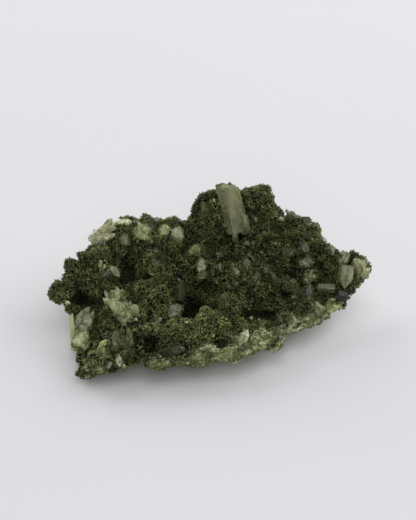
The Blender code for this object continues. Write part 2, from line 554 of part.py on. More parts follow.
def quartz_shapes(name, grow):
    """The working meshes, in metres, whose union is a quartz crystal enlarged on all sides by grow."""
    kind, place, direction, length, width, flatness, roll, _ = QUARTZ[name]
    draw = random.Random(name)
    stand = frame_along(place, direction, roll)
    foot = ROOT + grow
    shapes = []

    def add(matrix, maker, *values, **options):
        bm = bmesh.new()
        made = maker(bm, *values, **options)
        bmesh.ops.transform(bm, verts=made, matrix=Matrix.Scale(MM, 4) @ matrix)
        shapes.append(bm)

    wide = width + 2 * grow
    if kind == "shard":
        add(stand, add_shard, ROOT, length, width, flatness, draw, grow)
    elif kind == "prism":
        slant = (draw.uniform(-POINT_LEAN, POINT_LEAN), draw.uniform(-POINT_LEAN, POINT_LEAN))
        add(stand, add_prism, foot, length + POINT_GAP * grow, wide, flatness, slant=slant)
    elif kind == "blunt":
        slant = (draw.uniform(-END_SLOPE, END_SLOPE), draw.uniform(-END_SLOPE, END_SLOPE))
        add(stand, add_prism, foot, length + grow, wide, flatness, tip=0, slant=slant)
    elif kind == "twin":
        add(stand, add_prism, foot, length + grow, wide, flatness, tip=0, slant=TWIN_END)
        beside = stand @ Matrix.Translation((width * NEIGHBOUR_ASIDE[0], width * NEIGHBOUR_ASIDE[1], 0))
        add(beside, add_prism, foot, length * NEIGHBOUR_SIZE[0] + grow, wide * NEIGHBOUR_SIZE[1], flatness,
            tip=0, slant=NEIGHBOUR_END)
    else:
        for index in range(CLUSTER_SIZES[kind]):
            angle = index * GOLDEN_TURN
            spread = 0.0 if index == 0 else draw.uniform(*CLUSTER_LEAN)
            lean = Euler((spread * math.cos(angle), spread * math.sin(angle), angle)).to_matrix().to_4x4()
            reach = CLUSTER_ASIDE * width * spread
            aside = Matrix.Translation((reach * math.sin(angle), -reach * math.cos(angle), 0))
            size = draw.uniform(*CLUSTER_SIZE)
            add(stand @ aside @ lean, add_prism, foot * CLUSTER_FOOT, length * size + grow,
                width * size * CLUSTER_SLIM + 2 * grow, flatness, tip=CLUSTER_POINT)
    return shapes


def make_pocket(name, collection):
    """The cutter for a quartz piece's pocket: the hull of its slightly enlarged crystals."""
    hull = bmesh.new()
    for shape in quartz_shapes(name, GAP):
        for vert in shape.verts:
            hull.verts.new(vert.co)
        shape.free()
    made = bmesh.ops.convex_hull(hull, input=hull.verts)
    inside = [v for v in made["geom_interior"] if isinstance(v, bmesh.types.BMVert)]
    bmesh.ops.delete(hull, geom=inside, context="VERTS")
    hide_cutter(new_object(name + "_pocket", finish_mesh(name + "_pocket", hull), collection))


def make_quartz(name, collection, cutters):
    """A quartz piece: crystals that have grown together are one solid."""
    shapes = quartz_shapes(name, 0.0)
    target = new_object(name, finish_mesh(name, shapes[0]), collection)
    for index, shape in enumerate(shapes[1:]):
        other = new_object(f"{name}_part_{index}", finish_mesh(name, shape), cutters)
        hide_cutter(other)
        cut(target, other, "UNION")
    return target


def make_blades(matrix, collection):
    """Epidote crystals strewn over the crust, four-sided with a pointed end, in one cutter."""
    draw = random.Random(SEED + 2)
    places = scatter_on(matrix.data, BLADE_COUNT * BLADE_TRIES, draw, BLADES_FROM)
    places = [(place, normal) for place, normal in places if not on_front_face(place, normal)]
    keep = [Vector(values[1]) for values in QUARTZ.values()]
    blades = bmesh.new()
    for place, normal in places:
        spot = place / MM
        if len(keep) >= BLADE_COUNT + len(QUARTZ):
            break
        if spot.y > BLADES_BACK or min((spot - other).length for other in keep) < BLADE_SPACING:
            continue
        keep.append(spot)
        direction = normal + Vector([draw.uniform(-BLADE_LEAN, BLADE_LEAN) for _ in range(3)])
        made = add_prism(blades, BLADE_ROOT, draw.uniform(*BLADE_LENGTH), draw.uniform(*BLADE_WIDTH),
                         draw.uniform(*BLADE_FLATNESS), sides=4, tip=BLADE_TIP)
        stand = frame_along(spot, direction, draw.uniform(0, 180))
        bmesh.ops.transform(blades, verts=made, matrix=Matrix.Scale(MM, 4) @ stand)
    cutter = new_object("blades", finish_mesh("blades", blades), collection)
    hide_cutter(cutter)
    return cutter


def centre_parts(parts, cutters):
    """Hang all pieces and cutters on one empty, so that the origin is below the middle of the cluster."""
    corners = []
    for piece in parts.objects:
        mesh = evaluated_copy(piece, "measured", parts)
        points = np.empty(len(mesh.data.vertices) * 3)
        mesh.data.vertices.foreach_get("co", points)
        points = points.reshape(-1, 3)
        corners += [points.min(axis=0), points.max(axis=0)]
        bpy.data.objects.remove(mesh)
    low, high = np.min(corners, axis=0), np.max(corners, axis=0)
    base = bpy.data.objects.new("cluster_base", None)
    base.location = (-(low[0] + high[0]) / 2, -(low[1] + high[1]) / 2, -low[2])
    for piece in (*parts.objects, *cutters.objects):
        piece.parent = base
    parts.objects.link(base)


def make_crusted_rock(cutters):
    """The slab with its crust: the grown body less its hollows, with fewer faces, a flat patch and blades."""
    body = grow_body(cutters)
    cut(body, make_hollows(cutters, random.Random(SEED + 1)))
    remesh(body, BODY_VOXEL)
    whole = evaluated_copy(body, "whole_body", cutters)
    whole.data.calc_loop_triangles()
    fewer = whole.modifiers.new("fewer_faces", "DECIMATE")
    fewer.ratio = MATRIX_FACES / len(whole.data.loop_triangles)
    rock = cleaned_copy(whole, "rock", cutters)
    cut(rock, make_floor_cutter(cutters))
    cut(rock, make_blades(rock, cutters), "UNION")
    crusted = cleaned_copy(rock, "crusted_rock", cutters)
    for used in (body, whole, rock):
        bpy.data.objects.remove(used)
    return crusted


def make_matrix(crusted, pockets, parts):
    """The matrix: the crusted rock less a pocket for each quartz crystal."""
    sink = crusted.modifiers.new("pockets", "BOOLEAN")
    sink.operation = "DIFFERENCE"
    sink.operand_type = "COLLECTION"
    sink.collection = pockets
    sink.solver = "EXACT"
    matrix = cleaned_copy(crusted, "epidote_matrix", parts)
    bpy.data.objects.remove(crusted)
    return matrix


def main():
    clear_scene()
    parts = bpy.data.collections.new("epidote_crystal_cluster")
    cutters = bpy.data.collections.new("cutters")
    pockets = bpy.data.collections.new("pockets")
    for group in (parts, cutters, pockets):
        bpy.context.scene.collection.children.link(group)
    finish = {key: principled(key, *values) for key, values in FINISHES.items()}
    crusted = make_crusted_rock(cutters)
    for name in QUARTZ:
        piece = make_quartz(name, parts, cutters)
        piece.data.materials.append(finish[QUARTZ[name][-1]])
        make_pocket(name, pockets)
    matrix = make_matrix(crusted, pockets, parts)
    matrix.data.materials.append(finish["epidote"])
    centre_parts(parts, cutters)


main()
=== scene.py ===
"""Looks of an epidote crystal cluster: a crust of small green crystals on broken rock, with quartz in it.

Everything is in metres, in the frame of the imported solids, except the lens and the tables that say mm.
Shapes are worked out with numpy as whole arrays, and everything random comes from seeded generators.
"""
import json
import math

import bmesh
import bpy
import numpy as np
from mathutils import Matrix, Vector


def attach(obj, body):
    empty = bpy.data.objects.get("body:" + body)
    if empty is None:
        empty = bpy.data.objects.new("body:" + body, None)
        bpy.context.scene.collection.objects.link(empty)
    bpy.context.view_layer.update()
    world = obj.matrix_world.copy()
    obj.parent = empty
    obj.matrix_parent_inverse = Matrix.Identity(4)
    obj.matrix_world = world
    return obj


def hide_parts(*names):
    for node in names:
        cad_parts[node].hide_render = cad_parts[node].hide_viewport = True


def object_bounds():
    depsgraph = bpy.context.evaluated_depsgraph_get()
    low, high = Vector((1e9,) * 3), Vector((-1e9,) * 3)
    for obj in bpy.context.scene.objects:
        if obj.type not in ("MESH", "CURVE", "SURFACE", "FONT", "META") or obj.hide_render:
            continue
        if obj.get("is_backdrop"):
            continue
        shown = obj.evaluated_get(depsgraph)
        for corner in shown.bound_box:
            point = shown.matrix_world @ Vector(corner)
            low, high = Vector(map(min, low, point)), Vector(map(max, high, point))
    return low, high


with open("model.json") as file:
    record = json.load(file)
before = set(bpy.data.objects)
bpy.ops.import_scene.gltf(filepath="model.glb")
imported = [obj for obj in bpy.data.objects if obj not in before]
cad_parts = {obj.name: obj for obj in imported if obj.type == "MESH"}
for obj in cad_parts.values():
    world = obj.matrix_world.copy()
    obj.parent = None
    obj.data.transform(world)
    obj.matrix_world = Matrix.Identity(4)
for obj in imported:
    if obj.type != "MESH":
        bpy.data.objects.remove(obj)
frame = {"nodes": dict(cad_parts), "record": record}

CAD_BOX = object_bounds()
MM = 0.001
BODY = "root"

# The photo's view: what the camera looks at, how steeply and from how far
VIEW_TARGET = Vector((-0.00136, 0.01507, 0.018))
VIEW_ELEVATION = math.radians(42)
VIEW_DISTANCE = 0.55
LENS_MM = 100.24

# The slope that faces this view: across it, up it and out of it
ACROSS = np.array((1.0, 0, 0))
UPHILL = np.array((0, math.sin(VIEW_ELEVATION), math.cos(VIEW_ELEVATION)))
OUTWARD = np.array((0, -math.cos(VIEW_ELEVATION), math.sin(VIEW_ELEVATION)))

# The large primes that scramble a lattice cell's coordinates and its seed, and the bits that are kept
CELL_PRIMES = np.array((374761393, 668265263, 2147483647))
SEED_PRIME = 1274126177
KEPT_BITS = 0xFFFFFFFF
TINY = 1e-12                    # least length or area that a vector is divided by

# The crusted rock
SKIN_GRID = 0.52 * MM           # grid on which the rock's skin is laid
SKIN_SMOOTHING = 5              # rounds that take the flat facets out of it
SKIN_SINK = 0.35 * MM           # room that the crust's small crystals take above the skin
ROCK_SINK = 0.15 * MM           # room that the grains take above broken rock
HOLLOW_ROUNDS = 130             # rounds after which the relaxed surface bridges the hollows
HOLLOW_DEEPENED = 0.5           # how much deeper the hollows are made
HOLLOW_SHADE_DEPTHS = (0.3 * MM, 2.4 * MM)    # depths of a hollow from which painted shade darkens it, and at which that shade is darkest
QUARTZ_ROOM = 0.9 * MM          # how far the skin steps back under quartz
LEAST_HEIGHT = 0.05 * MM        # what doesn't rest on the floor stays this far above it
RESTING = (0.5 * MM, -0.8)      # the skin rests where it is this low and its normal points down this much

# The crust's knobs, large, middling and small: width, height from the furrows to the top, how far a noise
# bends them, how much painted shade darkens the crust in their furrows, and seed
LUMPS = (
    (5.8 * MM, 1.2 * MM, 1.5 * MM, 0.8, 41),
    (2.9 * MM, 1.3 * MM, -0.8 * MM, 0.9, 45),
    (1.6 * MM, 0.5 * MM, 0.0, 0.65, 42),
)
LARGE_LUMP_HEIGHTS = (0.6, 0.8)         # the lowest large knob, and how much higher the highest is
SHADE_FADE_HEIGHTS = (0.1, 0.75)              # heights on a knob between which the painted shade of its furrows fades
BEND_SIZE = 3 * MM
BEND_SEED = 46

# The broken rock's blocks and chips: size, height and seed. They are longer along X and flatter along Z by
# what these are multiplied by
BREAKS = ((2.6 * MM, 0.9 * MM, 51), (1.1 * MM, 0.4 * MM, 52))
BREAK_STRETCH = (0.55, 1.0, 1.5)
BLOCK_SHARES = (0.6, 0.4)               # how much blocks and chips count in the rock's colour

# The broken rock shows in front of this line, given along X, and below these heights
EDGE_AT = np.array([-60, -35, -20, -8, 5, 16, 28, 41, 50, 60]) * MM
EDGE_LINE = np.array([-28.8, -31.6, -30.2, -26.8, -21.2, -14.6, -10.1, -4.1, -0.2, 4.2]) * MM
LOWEST_FRONT = 3.0 * MM
LOWEST_BACK = 10.5 * MM
BACK_FROM = 12 * MM
ALL_CRUST = (12 * MM, 14 * MM)          # above these heights the line no longer counts
EDGE_SOFTNESS = 0.8 * MM
UNDERSIDE = (-0.55, -0.25)              # normals that point lower have no crust
EDGE_NOISES = ((1.5 * MM, 3.5 * MM, 31), (0.9 * MM, 1.5 * MM, 32))  # how far the line frays, size and seed
UNDERSIDE_NOISE = (0.15, 2.5 * MM, 33)

# Lighter and darker patches of the crust, partly its own tone and partly painted light on the front ridge
# and the hump's right side and painted shade on the left end: middle in X and Y and spread in mm, and by how
# much
TONE_AND_LIGHT_PATCHES = (
    (2, -15, 6, 0.6), (-10, -19, 8, 0.4), (-24, 26, 8, 0.3), (19, 24, 5, 0.25), (46, 12, 7, 0.1),
    (-26, -19.5, 4, 0.15), (8, 0, 8, 0.12), (-22, 10, 9, 0.14), (-40, -24, 8, 0.15), (-55, -2, 7, -0.25),
    (10, -20, 8, 0.12), (30, 22, 8, 0.06), (-54, -3, 2.5, 0.6), (42, 20, 4, 0.25), (26, 8, 10, -0.16),
    (42, 6, 10, -0.12), (-40, 10, 2.2, 0.4),
)

# Deep places of the crust, cut in and darkened with painted shade: middle, size (along X, up the view) and
# extra depth, in mm
CREVICES = (
    ((-31.8, 12.6, 11.6), (6.5, 10.5), 1.5), ((-8.6, 1.2, 6.2), (15.0, 10.0), 1.2),
    ((-23.0, -20.6, 11.4), (11.5, 5.6), 3.6), ((18.1, -4.3, 8.2), (12.0, 4.2), 0.8),
    ((41.0, 12.2, 17.6), (5.0, 5.5), 2.0), ((46.5, 1.9, 9.8), (4.5, 3.6), 1.6),
    ((-49.2, -1.8, 13), (14.0, 5.5), 1.2), ((4.5, 17.2, 28.2), (2.2, 3.6), 2.0),
    ((15.8, 19.2, 37.8), (3.6, 3.2), 2.2), ((18.6, 17.2, 30.8), (5.0, 2.6), 1.6),
    ((-18.3, -8.8, 9), (5.0, 3.5), 1.2), ((8.2, -4.3, 13), (4.0, 3.0), 1.5),
    ((27.2, 0.7, 13.5), (5.0, 3.2), 1.4), ((-2.3, 6.2, 13), (3.6, 5.0), 1.5),
    ((30.2, 10.2, 16.5), (4.5, 3.2), 1.5), ((-24.3, 8.2, 16), (3.0, 4.5), 1.4),
    ((-38.8, 14.7, 16.5), (5.0, 3.0), 1.2), ((-13.8, 14.2, 18), (4.5, 3.0), 1.2),
)
CREVICE_RIM = (0.5, 1.1)                # shares of its size between which a crevice rises to the crust
CREVICE_REACH = 7 * MM

# Knobs drawn in or swollen a little: middle, reach and how far out, in mm
SWELLS = (
    ((25.5, 28.0, 38.5), 6.0, -2.8), ((17.5, 28.0, 45.5), 7.0, -1.3), ((-37.0, 25.0, 26.5), 4.5, -1.4),
    ((-7.5, 26.6, 33.2), 4.2, -2.4), ((43.3, 19.4, 23.6), 5.0, -1.2), ((23.5, -19.0, 4.0), 5.0, -1.8),
)

# The crust's small crystals, which stand in tufts
TUFT_SPACE = 0.76 * MM          # about one tuft to each such cube
TUFT_CRYSTALS = 3
TUFT_TRIES = 120000             # places looked at for the tufts
TUFT_SPREAD = 0.2 * MM
NEEDLE_LENGTH = (0.5 * MM, 1.05 * MM)
NEEDLE_WIDTH = (0.36 * MM, 0.62 * MM)
NEEDLE_LEAN = 0.8
NEEDLE_TONES = (0.87, 0.2)      # their mean tone and how much it varies
NEEDLE_TONE_LIMITS = (0.1, 1.2)
KNOB_TONES = 0.12               # how much lighter or darker a whole knob is
NEEDLE_PIECES = ("needles_left", "needles_middle_left", "needles_middle_right", "needles_right")
NEEDLE_SEED = 61
TUFT_SEED = 62
# Tints along each crystal as painted shade and light: nearly black at its sunk root where the crystals
# crowd, lighter at the belt and lightest at the tip
SPINDLE_SHADE_TINTS = (0.05, 0.72, 0.72, 0.72, 1.2)
SPINDLE_POINTS = len(SPINDLE_SHADE_TINTS)
SPINDLE_BELT = 0.62             # shares of its length at which a spindle is widest and its root is sunk
SPINDLE_ROOT = 0.3

# The small crystals that have grown onto the quartz
DUST_DENSITY = 6.0              # how many on each square millimetre of dusty quartz
DUST_SIZES = (0.8, 0.9)         # their length and width, as shares of the crust's
DUST_TONES = (0.75, 0.15)
DUST_TONE_LIMITS = (0.2, 1.1)
# Painted shade laid evenly on the small crystals that grow on the quartz
DUST_PAINTED_SHADE = 0.2
DUST_SEED = 64

# The grains on broken rock
GRAIN_COUNT = 11000
GRAIN_SIZE = (0.4 * MM, 1.2 * MM)
GRAIN_STRETCH = (1.3, 1.0, 1.3, 1.0, 0.7, 0.7)     # reach of its six corners: long one way, and flat
GRAIN_ROUGHNESS = (0.6, 1.3)
GRAIN_LEAN = 0.5
GRAIN_LOWEST = 1.2 * MM
GRAIN_SEED = 71
GRAIN_PLACE_SEED = 72

SETTLING_REACH = 6 * MM         # how far a stone's given middle may lie from the skin that it settles on
SETTLING_WIDTH = 1.3 * MM       # how far to each side the skin is looked at
SETTLING_LEVEL = 0.8            # share of that skin that lies below the level
STONE_LIFT = 0.4                # how far its middle then stands out of the crust, as a share of its size
STONE_GROWTH = 1.2
STONE_RIM = (0.6, 1.0)          # shares of its size between which the bare skin under a stone ends
BAND_RIM = (0.6, 1.05)
BAND_REACH = 5 * MM

# The quartz. Stones: node, middle, size (along X, up the view, out of the slope) in mm, turn in degrees,
# how many stones grow together and how light they are: their own paleness with painted light and shade,
# piece by piece
QUARTZ_STONES = (
    ("quartz_green_block", (-5.5, 17.4, 21), (7.0, 5.2, 4.6), 12, 2, 2.64),
    ("quartz_white_spark", (-4.0, 11.6, 19), (3.8, 6.2, 3.4), 8, 5, 1.95),
    ("quartz_under_spark", (-3.6, 8.4, 15.9), (4.4, 4.0, 3.4), 0, 2, 1.78),
    ("quartz_slope_knob", (28.4, 16.8, 20.2), (4.2, 4.2, 3.6), 0, 1, 0.55),
    ("quartz_slope_point", (34.8, 17.4, 22), (3.4, 3.4, 3.2), 20, 2, 0.32),
    ("quartz_slope_chip", (12.9, 9.2, 21), (3.2, 3.2, 2.8), 40, 2, 0.71),
    ("quartz_slope_bead", (8.8, 7.0, 19), (3.2, 3.6, 2.8), 0, 2, 0.53),
    ("quartz_slope_block", (17.1, 8.2, 17), (4.6, 5.2, 4.0), -20, 2, 0.86),
    ("quartz_right_block", (35.8, 15.2, 16.8), (5.0, 4.8, 4.2), 15, 3, 1.48),
    ("quartz_right_wedge", (36.9, 10.2, 13.9), (5.8, 5.6, 4.6), 30, 4, 1.5),
    ("quartz_right_tuft", (49.8, 11.4, 21.6), (4.2, 4.4, 3.6), 0, 3, 1.08),
    ("quartz_right_facet", (48.4, 2.1, 12), (5.0, 4.4, 3.6), 25, 1, 0.2),
    ("quartz_right_grain", (36.2, 3.1, 12.4), (3.2, 3.6, 2.8), 0, 1, 0.31),
    ("quartz_right_tip", (56.4, 10.8, 17.6), (6.4, 8.8, 5.0), -25, 3, 1.66),
    ("quartz_front_right_block", (39.6, -3.2, 8.8), (5.0, 5.8, 4.2), 40, 3, 0.83),
    ("quartz_front_flake", (28.6, -5.0, 9), (5.0, 2.4, 2.4), 0, 1, 1.28),
    ("quartz_front_wedge", (30.4, -9.0, 8.8), (5.2, 4.4, 3.4), 35, 4, 1.1),
    ("quartz_left_pebble", (-37.4, 10.6, 16.4), (4.2, 3.6, 3.4), -30, 1, 1.15),
    ("quartz_left_flake", (-40.1, 7.1, 17.6), (4.4, 3.2, 2.2), -35, 2, 0.32),
    ("quartz_vug_grain", (-20.3, -10.2, 10.8), (3.2, 2.4, 2.2), 0, 2, 0.62),
    ("quartz_left_wall_low", (-48.0, -17.0, 6.2), (5.8, 7.4, 4.6), 0, 5, 1.72),
    ("quartz_corner_knob", (-39.3, -24.6, 7), (3.2, 5.2, 3.2), 0, 1, 1.8),
    ("quartz_corner_oval", (-33.6, -25.0, 4.4), (3.0, 3.8, 2.8), 10, 1, 1.7),
    ("quartz_rim_cap", (-33.9, 26.7, 27), (6.4, 2.8, 3.8), 5, 2, 2.24),
    ("quartz_rim_chip", (-33.4, 21.2, 22.2), (4.6, 4.4, 3.8), 0, 2, 1.15),
    ("quartz_rim_knob_a", (-25.9, 25.6, 24.0), (8.2, 6.4, 5.0), 0, 5, 1.59),
    ("quartz_rim_knob_b", (-18.4, 26.0, 23.3), (5.4, 6.0, 4.4), 0, 3, 4.71),
    ("quartz_rim_knob_c", (-12.9, 24.8, 22.8), (6.2, 6.6, 4.8), 0, 4, 1.92),
    ("quartz_shoulder_flake", (30.6, 27.0, 29.8), (4.6, 2.8, 3.2), -10, 2, 0.54),
    ("quartz_shoulder_block", (36.1, 24.4, 28.8), (4.8, 4.2, 3.8), 0, 2, 0.35),
)
STONE_GRID = (26, 38)                   # rings of a stone's skin, and points of each
STONE_FACES = 11
STONE_REACHES = (0.74, 1.0)             # how far its faces stand from its middle
STONE_SHARPNESS = 34.0
STONE_WEAR = (0.015, 0.35, 90)          # height, size and seed of its worn unevenness
FIRST_STONE = 0.78                      # shares of the whole size that the first and the other stones take
OTHER_STONES = (0.42, 0.62)
STONE_RING = 0.27                       # how far the others stand from the middle, as a share of the size
STONE_RING_LIFTS = (-0.1, 0.35)
STONE_RING_TURN = 60
STONE_SEED = 8300                       # each node has its own generator: this plus the number of its row

# Stones given one by one: node, how light (own paleness with painted light and shade), then middle, size and
# turn of each
QUARTZ_GROUPS = (
    ("quartz_vug_square", 0.76, (
        ((-14.0, -4.4, 9), (4.8, 4.4, 4.0), 25), ((-12.4, -3.2, 9.4), (2.6, 2.8, 3.0), 40),
    )),
)
GROUP_SEED = 8400

# Prisms: node, how light (own paleness with painted light and shade), then of each its foot, tip, width and
# depth in mm, roll in degrees, the share that the point takes, and how far the end slants for each step to
# one side
QUARTZ_PRISMS = (
    ("quartz_blade", 0.97, (
        ((10.1, 18.1, 30.2), (5.3, 23.6, 48.8), 9.4, 5.2, 8, 0.08, -0.55),
        ((13.2, 17.7, 29.6), (11.6, 20.2, 38.0), 4.8, 4.6, 20, 0.14, -0.7),
        ((9.0, 16.0, 27.2), (8.6, 16.2, 31.0), 2.6, 2.0, 0, 0.4, 0),
    )),
    ("quartz_dark_point", 1.69, (((-2.2, 21.6, 34.6), (-3.4, 22.5, 41.2), 3.4, 3.0, 20, 0.25, 0),)),
    ("quartz_slope_bar", 0.34, (((24.4, 0.3, 18.8), (22.2, 6.7, 19.8), 2.8, 2.4, 10, 0.2, 0),)),
    ("quartz_right_point", 0.93, (((50.7, 9.4, 19.9), (49.7, 2.3, 15.0), 6.2, 5.0, 14, 0.34, 0),)),
    ("quartz_right_bar", 1.21, (((46.4, 3.8, 13.9), (38.6, 5.0, 13.4), 4.2, 3.8, 20, 0.2, 0),)),
    ("quartz_front_shard", 1.46, (((10.6, -20.8, 7.8), (13.1, -16.6, 12.6), 4.6, 3.0, 25, 0.35, 0),)),
    ("quartz_front_bar", 0.72, (((-17.6, -25.4, 8.2), (-9.4, -24.8, 11.2), 4.4, 3.8, 25, 0.12, 0.3),)),
    ("quartz_vug_back", 0.72, (((-11.5, 3.6, 8.1), (-12.0, 8.4, 14.1), 6.0, 4.0, 20, 0.3, 0.3),)),
    ("quartz_left_sliver", 1.92, (((-51.2, -18.4, 3.2), (-52.3, -6.6, 10.6), 2.4, 1.2, 60, 0.12, 0),)),
    ("quartz_corner_shard", 2.85, (((-41.7, -23.2, 6.2), (-38.5, -20.6, 11.8), 3.0, 2.2, 30, 0.3, 0),)),
)
PRISM_GRID = (44, 7, 9)                 # rows up the sides, steps along each side and rows up the point
PRISM_CORNERS = (0.86, 1.06)
PRISM_TAPER = 0.08
GROWTH_LINES = 1.6                      # growth lines to the millimetre
GROWTH_DEPTH = 0.022                    # how deep they are, as a share of the width
APEX_SHIFT = 0.16
POINT_HEIGHTS = (0.08, 0.96)            # where on the point its first and last rows stand
GROWTH_SEED = 91
PRISM_SEED = 8500

# Sheaves of small prisms: node, how light (own paleness with painted light and shade), foot and tip of the
# whole, how wide it is and width of one in mm, and how many there are
QUARTZ_SHEAVES = (
    ("quartz_left_cluster", 1.15, (-29.3, -12.0, 13.6), (-36.4, 0.6, 14.2), 6.6, 2.0, 60),
    ("quartz_front_right_tuft", 1.55, (43.8, -1.2, 8.8), (47.2, -0.2, 9.8), 4.0, 1.5, 30),
    ("quartz_left_wall_top", 1.2, (-48.8, -12.2, 6.6), (-46.6, -6.8, 9.2), 5.6, 1.9, 26),
    ("quartz_rim_left", 1.43, (-45.6, 20.4, 23.0), (-38.6, 22.8, 25.6), 4.6, 2.2, 28),
    ("quartz_fibrous", 0.95, (-32.8, -19.6, 5.2), (-32.8, -17.0, 10.6), 7.0, 1.6, 46),
)
SHEAF_GRID = (3, 1, 1)
SHEAF_SCATTER = 0.3             # how far its prisms lean at random, and how far out of the slope
SHEAF_RISE = 0.45
SHEAF_LIFT = 0.3 * MM
SHEAF_SLANT = 0.6
SHEAF_ROOT = 0.8                # how deep a prism is rooted and how high it stands, as shares of its width
SHEAF_HEIGHTS = (1.3, 2.4)
SHEAF_WIDTHS = (0.7, 1.4)
SHEAF_DEPTH = 0.85
SHEAF_POINTS = (0.2, 0.4)
SHEAF_SEED = 8600

# How stones, prisms and sheaves are finished: whether smooth, and the level from which dust lies on them
STONE_FINISH = (True, -0.45)
PRISM_FINISH = (False, 0.5)
SHEAF_FINISH = (False, 0.3)
DUST_NOISE = (0.9, 1.6 * MM, 92)        # how much chance counts in it, size and seed, then how much height
DUST_BY_HEIGHT = 0.8
STREAKS = ((0.45, 1.6, 1.0, 94), (0.2, 1.0, 2.2, 95))      # strength, size, squeeze across and seed

# Where small quartz is strewn: middle in X and Y, spread and number, in mm
SMALL_QUARTZ = (
    (18, 7, 9, 46), (33, 4, 6, 20), (37, 13, 5, 14), (5, 9, 6, 20), (-22, 25, 9, 60), (-41, 20, 4, 14),
    (-48, -15, 4, 26), (-40, -24, 5, 18), (-42, 5, 4, 8), (0, 22, 5, 5), (50, 8, 4, 16), (10, -22, 6, 14),
    (25, -15, 6, 18), (40, -5, 5, 18), (-20, -26, 8, 12), (-28, 8, 8, 8),
)
SMALL_QUARTZ_SIZE = (1.1 * MM, 3.4 * MM)
SMALL_QUARTZ_LIGHT = (0.3, 0.9)
SMALL_QUARTZ_LIFT = 0.12        # how far its middle stands out of the crust, as a share of its size
SMALL_QUARTZ_SEED = 85
SMALL_STREAKS = (1.2 * MM, 96)
SMALL_DUST = (2.0 * MM, 93)
MOST_SMALL_DUST = 0.8
OPEN_WAY = 0.3 * OUTWARD + 0.7 * np.array((0, 0, 1.0))      # small quartz lies on skin that faces this way
CHIP_GRID = (3, 7)
CHIP_FACES = 9
CHIP_REACHES = (0.7, 1.0)
CHIP_SHARPNESS = 16.0
CHIP_SHAPES = (0.6, 1.0)        # how much its size is drawn in along each way

# Pale chips given one by one: middle and size in mm, and how light. The first seven, small and very light,
# are painted highlights that stand in for glints; the others are pale quartz flakes
PALE_CHIPS_AND_GLINTS = (
    ((0.9, 22.4, 41.0), 1.5, 2.6), ((-35.3, -22.0, 10.4), 1.4, 2.6), ((-31.8, -30.4, 6.9), 1.3, 2.2),
    ((0.5, -20.2, 12.8), 1.2, 2.4), ((14.8, -4.4, 6.4), 1.4, 2.4), ((14.1, -2.2, 8.8), 1.1, 2.0),
    ((-9.0, -19.6, 19.0), 1.0, 2.4), ((-53.8, -3.2, 13.0), 2.2, 1.6), ((-52.5, -2.6, 8.8), 2.6, 1.7),
    ((-41.6, 7.6, 22.8), 1.8, 1.5), ((-40.4, 8.6, 20.6), 1.9, 1.3), ((-38.8, 12.0, 16.6), 1.8, 1.3),
    ((40.6, 19.8, 26.2), 2.8, 0.8), ((42.2, 18.6, 24.2), 3.0, 0.9), ((43.8, 17.4, 22.8), 3.0, 0.75),
    ((45.4, 16.0, 21.6), 2.8, 0.95), ((-27.8, -13.2, 14.2), 1.6, 1.6), ((26.2, 23.6, 31.2), 2.4, 1.2),
)
PALE_CHIP_GROWTH = 1.25
PALE_CHIP_LIFT = 0.45

# Colours, in linear values
EPIDOTE = {
    "Dark": (0.006, 0.008, 0.003, 1), "Middle": (0.185, 0.22, 0.075, 1), "Light": (0.57, 0.65, 0.25, 1),
}
ROCK = {"Dark": (0.03, 0.038, 0.012, 1), "Middle": (0.17, 0.20, 0.07, 1), "Light": (0.62, 0.62, 0.38, 1)}
FLOOR_COLOURS = ((0.80, 0.785, 0.81, 1), (0.83, 0.815, 0.84, 1))
SURROUND_COLOUR = (0.93, 0.95, 1.0, 1)
SURROUND_STRENGTH = 0.06

# Finish of each kind of quartz: clear, cloud and stain colours, cloudiness, staining, see-through share
QUARTZ_FINISHES = {
    "clear_quartz": ((0.46, 0.49, 0.23, 1), (0.70, 0.70, 0.44, 1), (0.15, 0.19, 0.06, 1), 0.40, 0.30, 0.62),
    "milky_quartz": ((0.58, 0.61, 0.35, 1), (0.82, 0.81, 0.59, 1), (0.18, 0.22, 0.07, 1), 0.55, 0.34, 0.56),
    "smoky_quartz": ((0.30, 0.34, 0.15, 1), (0.50, 0.53, 0.30, 1), (0.09, 0.12, 0.03, 1), 0.40, 0.40, 0.70),
    "stained_quartz": ((0.48, 0.53, 0.22, 1), (0.74, 0.75, 0.44, 1), (0.16, 0.2, 0.05, 1), 0.52, 0.4, 0.56),
}
QUARTZ_IOR = 1.544

# The floor's disc: corners and rings
FLOOR_CORNERS = 96
FLOOR_RINGS = np.array([0.3, 0.8, 2.0, 5.0])

# The lights: name, elevation and azimuth in degrees, and power
LIGHTS = (
    ("behind", 25, 0, 13.9), ("behind_right", 25, 45, 27.8), ("behind_left", 25, -45, 33.1),
    ("right", 25, 90, 10.6), ("high_right", 45, 80, 12.5), ("front", 45, 180, 14.4),
    ("overhead", 89, 0, 13.4),
)
LIGHT_DISTANCE = 2.6
LIGHT_SIZE = 1.8


def lattice_random(cells, seed):
    """A random number from 0 to 1 for each whole-number cell, from its coordinates times large primes."""
    mixed = (cells.astype(np.int64) @ CELL_PRIMES + seed * SEED_PRIME) & KEPT_BITS
    mixed = ((mixed ^ (mixed >> 13)) * SEED_PRIME) & KEPT_BITS
    return (mixed ^ (mixed >> 16)) / KEPT_BITS


def smooth_step(values, low, high):
    """0 below low, 1 above high and a smooth rise between them."""
    share = np.clip((values - low) / (high - low), 0, 1)
    return share * share * (3 - 2 * share)


def smooth_noise(points, size, seed):
    """Smooth random values from -1 to 1: a blend of the eight lattice corners' values round each point."""
    scaled = points / size
    base = np.floor(scaled)
    share = smooth_step(scaled - base, 0, 1)
    total = np.zeros(len(points))
    for corner in np.ndindex(2, 2, 2):
        weight = np.prod(np.where(corner, share, 1 - share), axis=1)
        total += weight * lattice_random(base + corner, seed)
    return 2 * total - 1


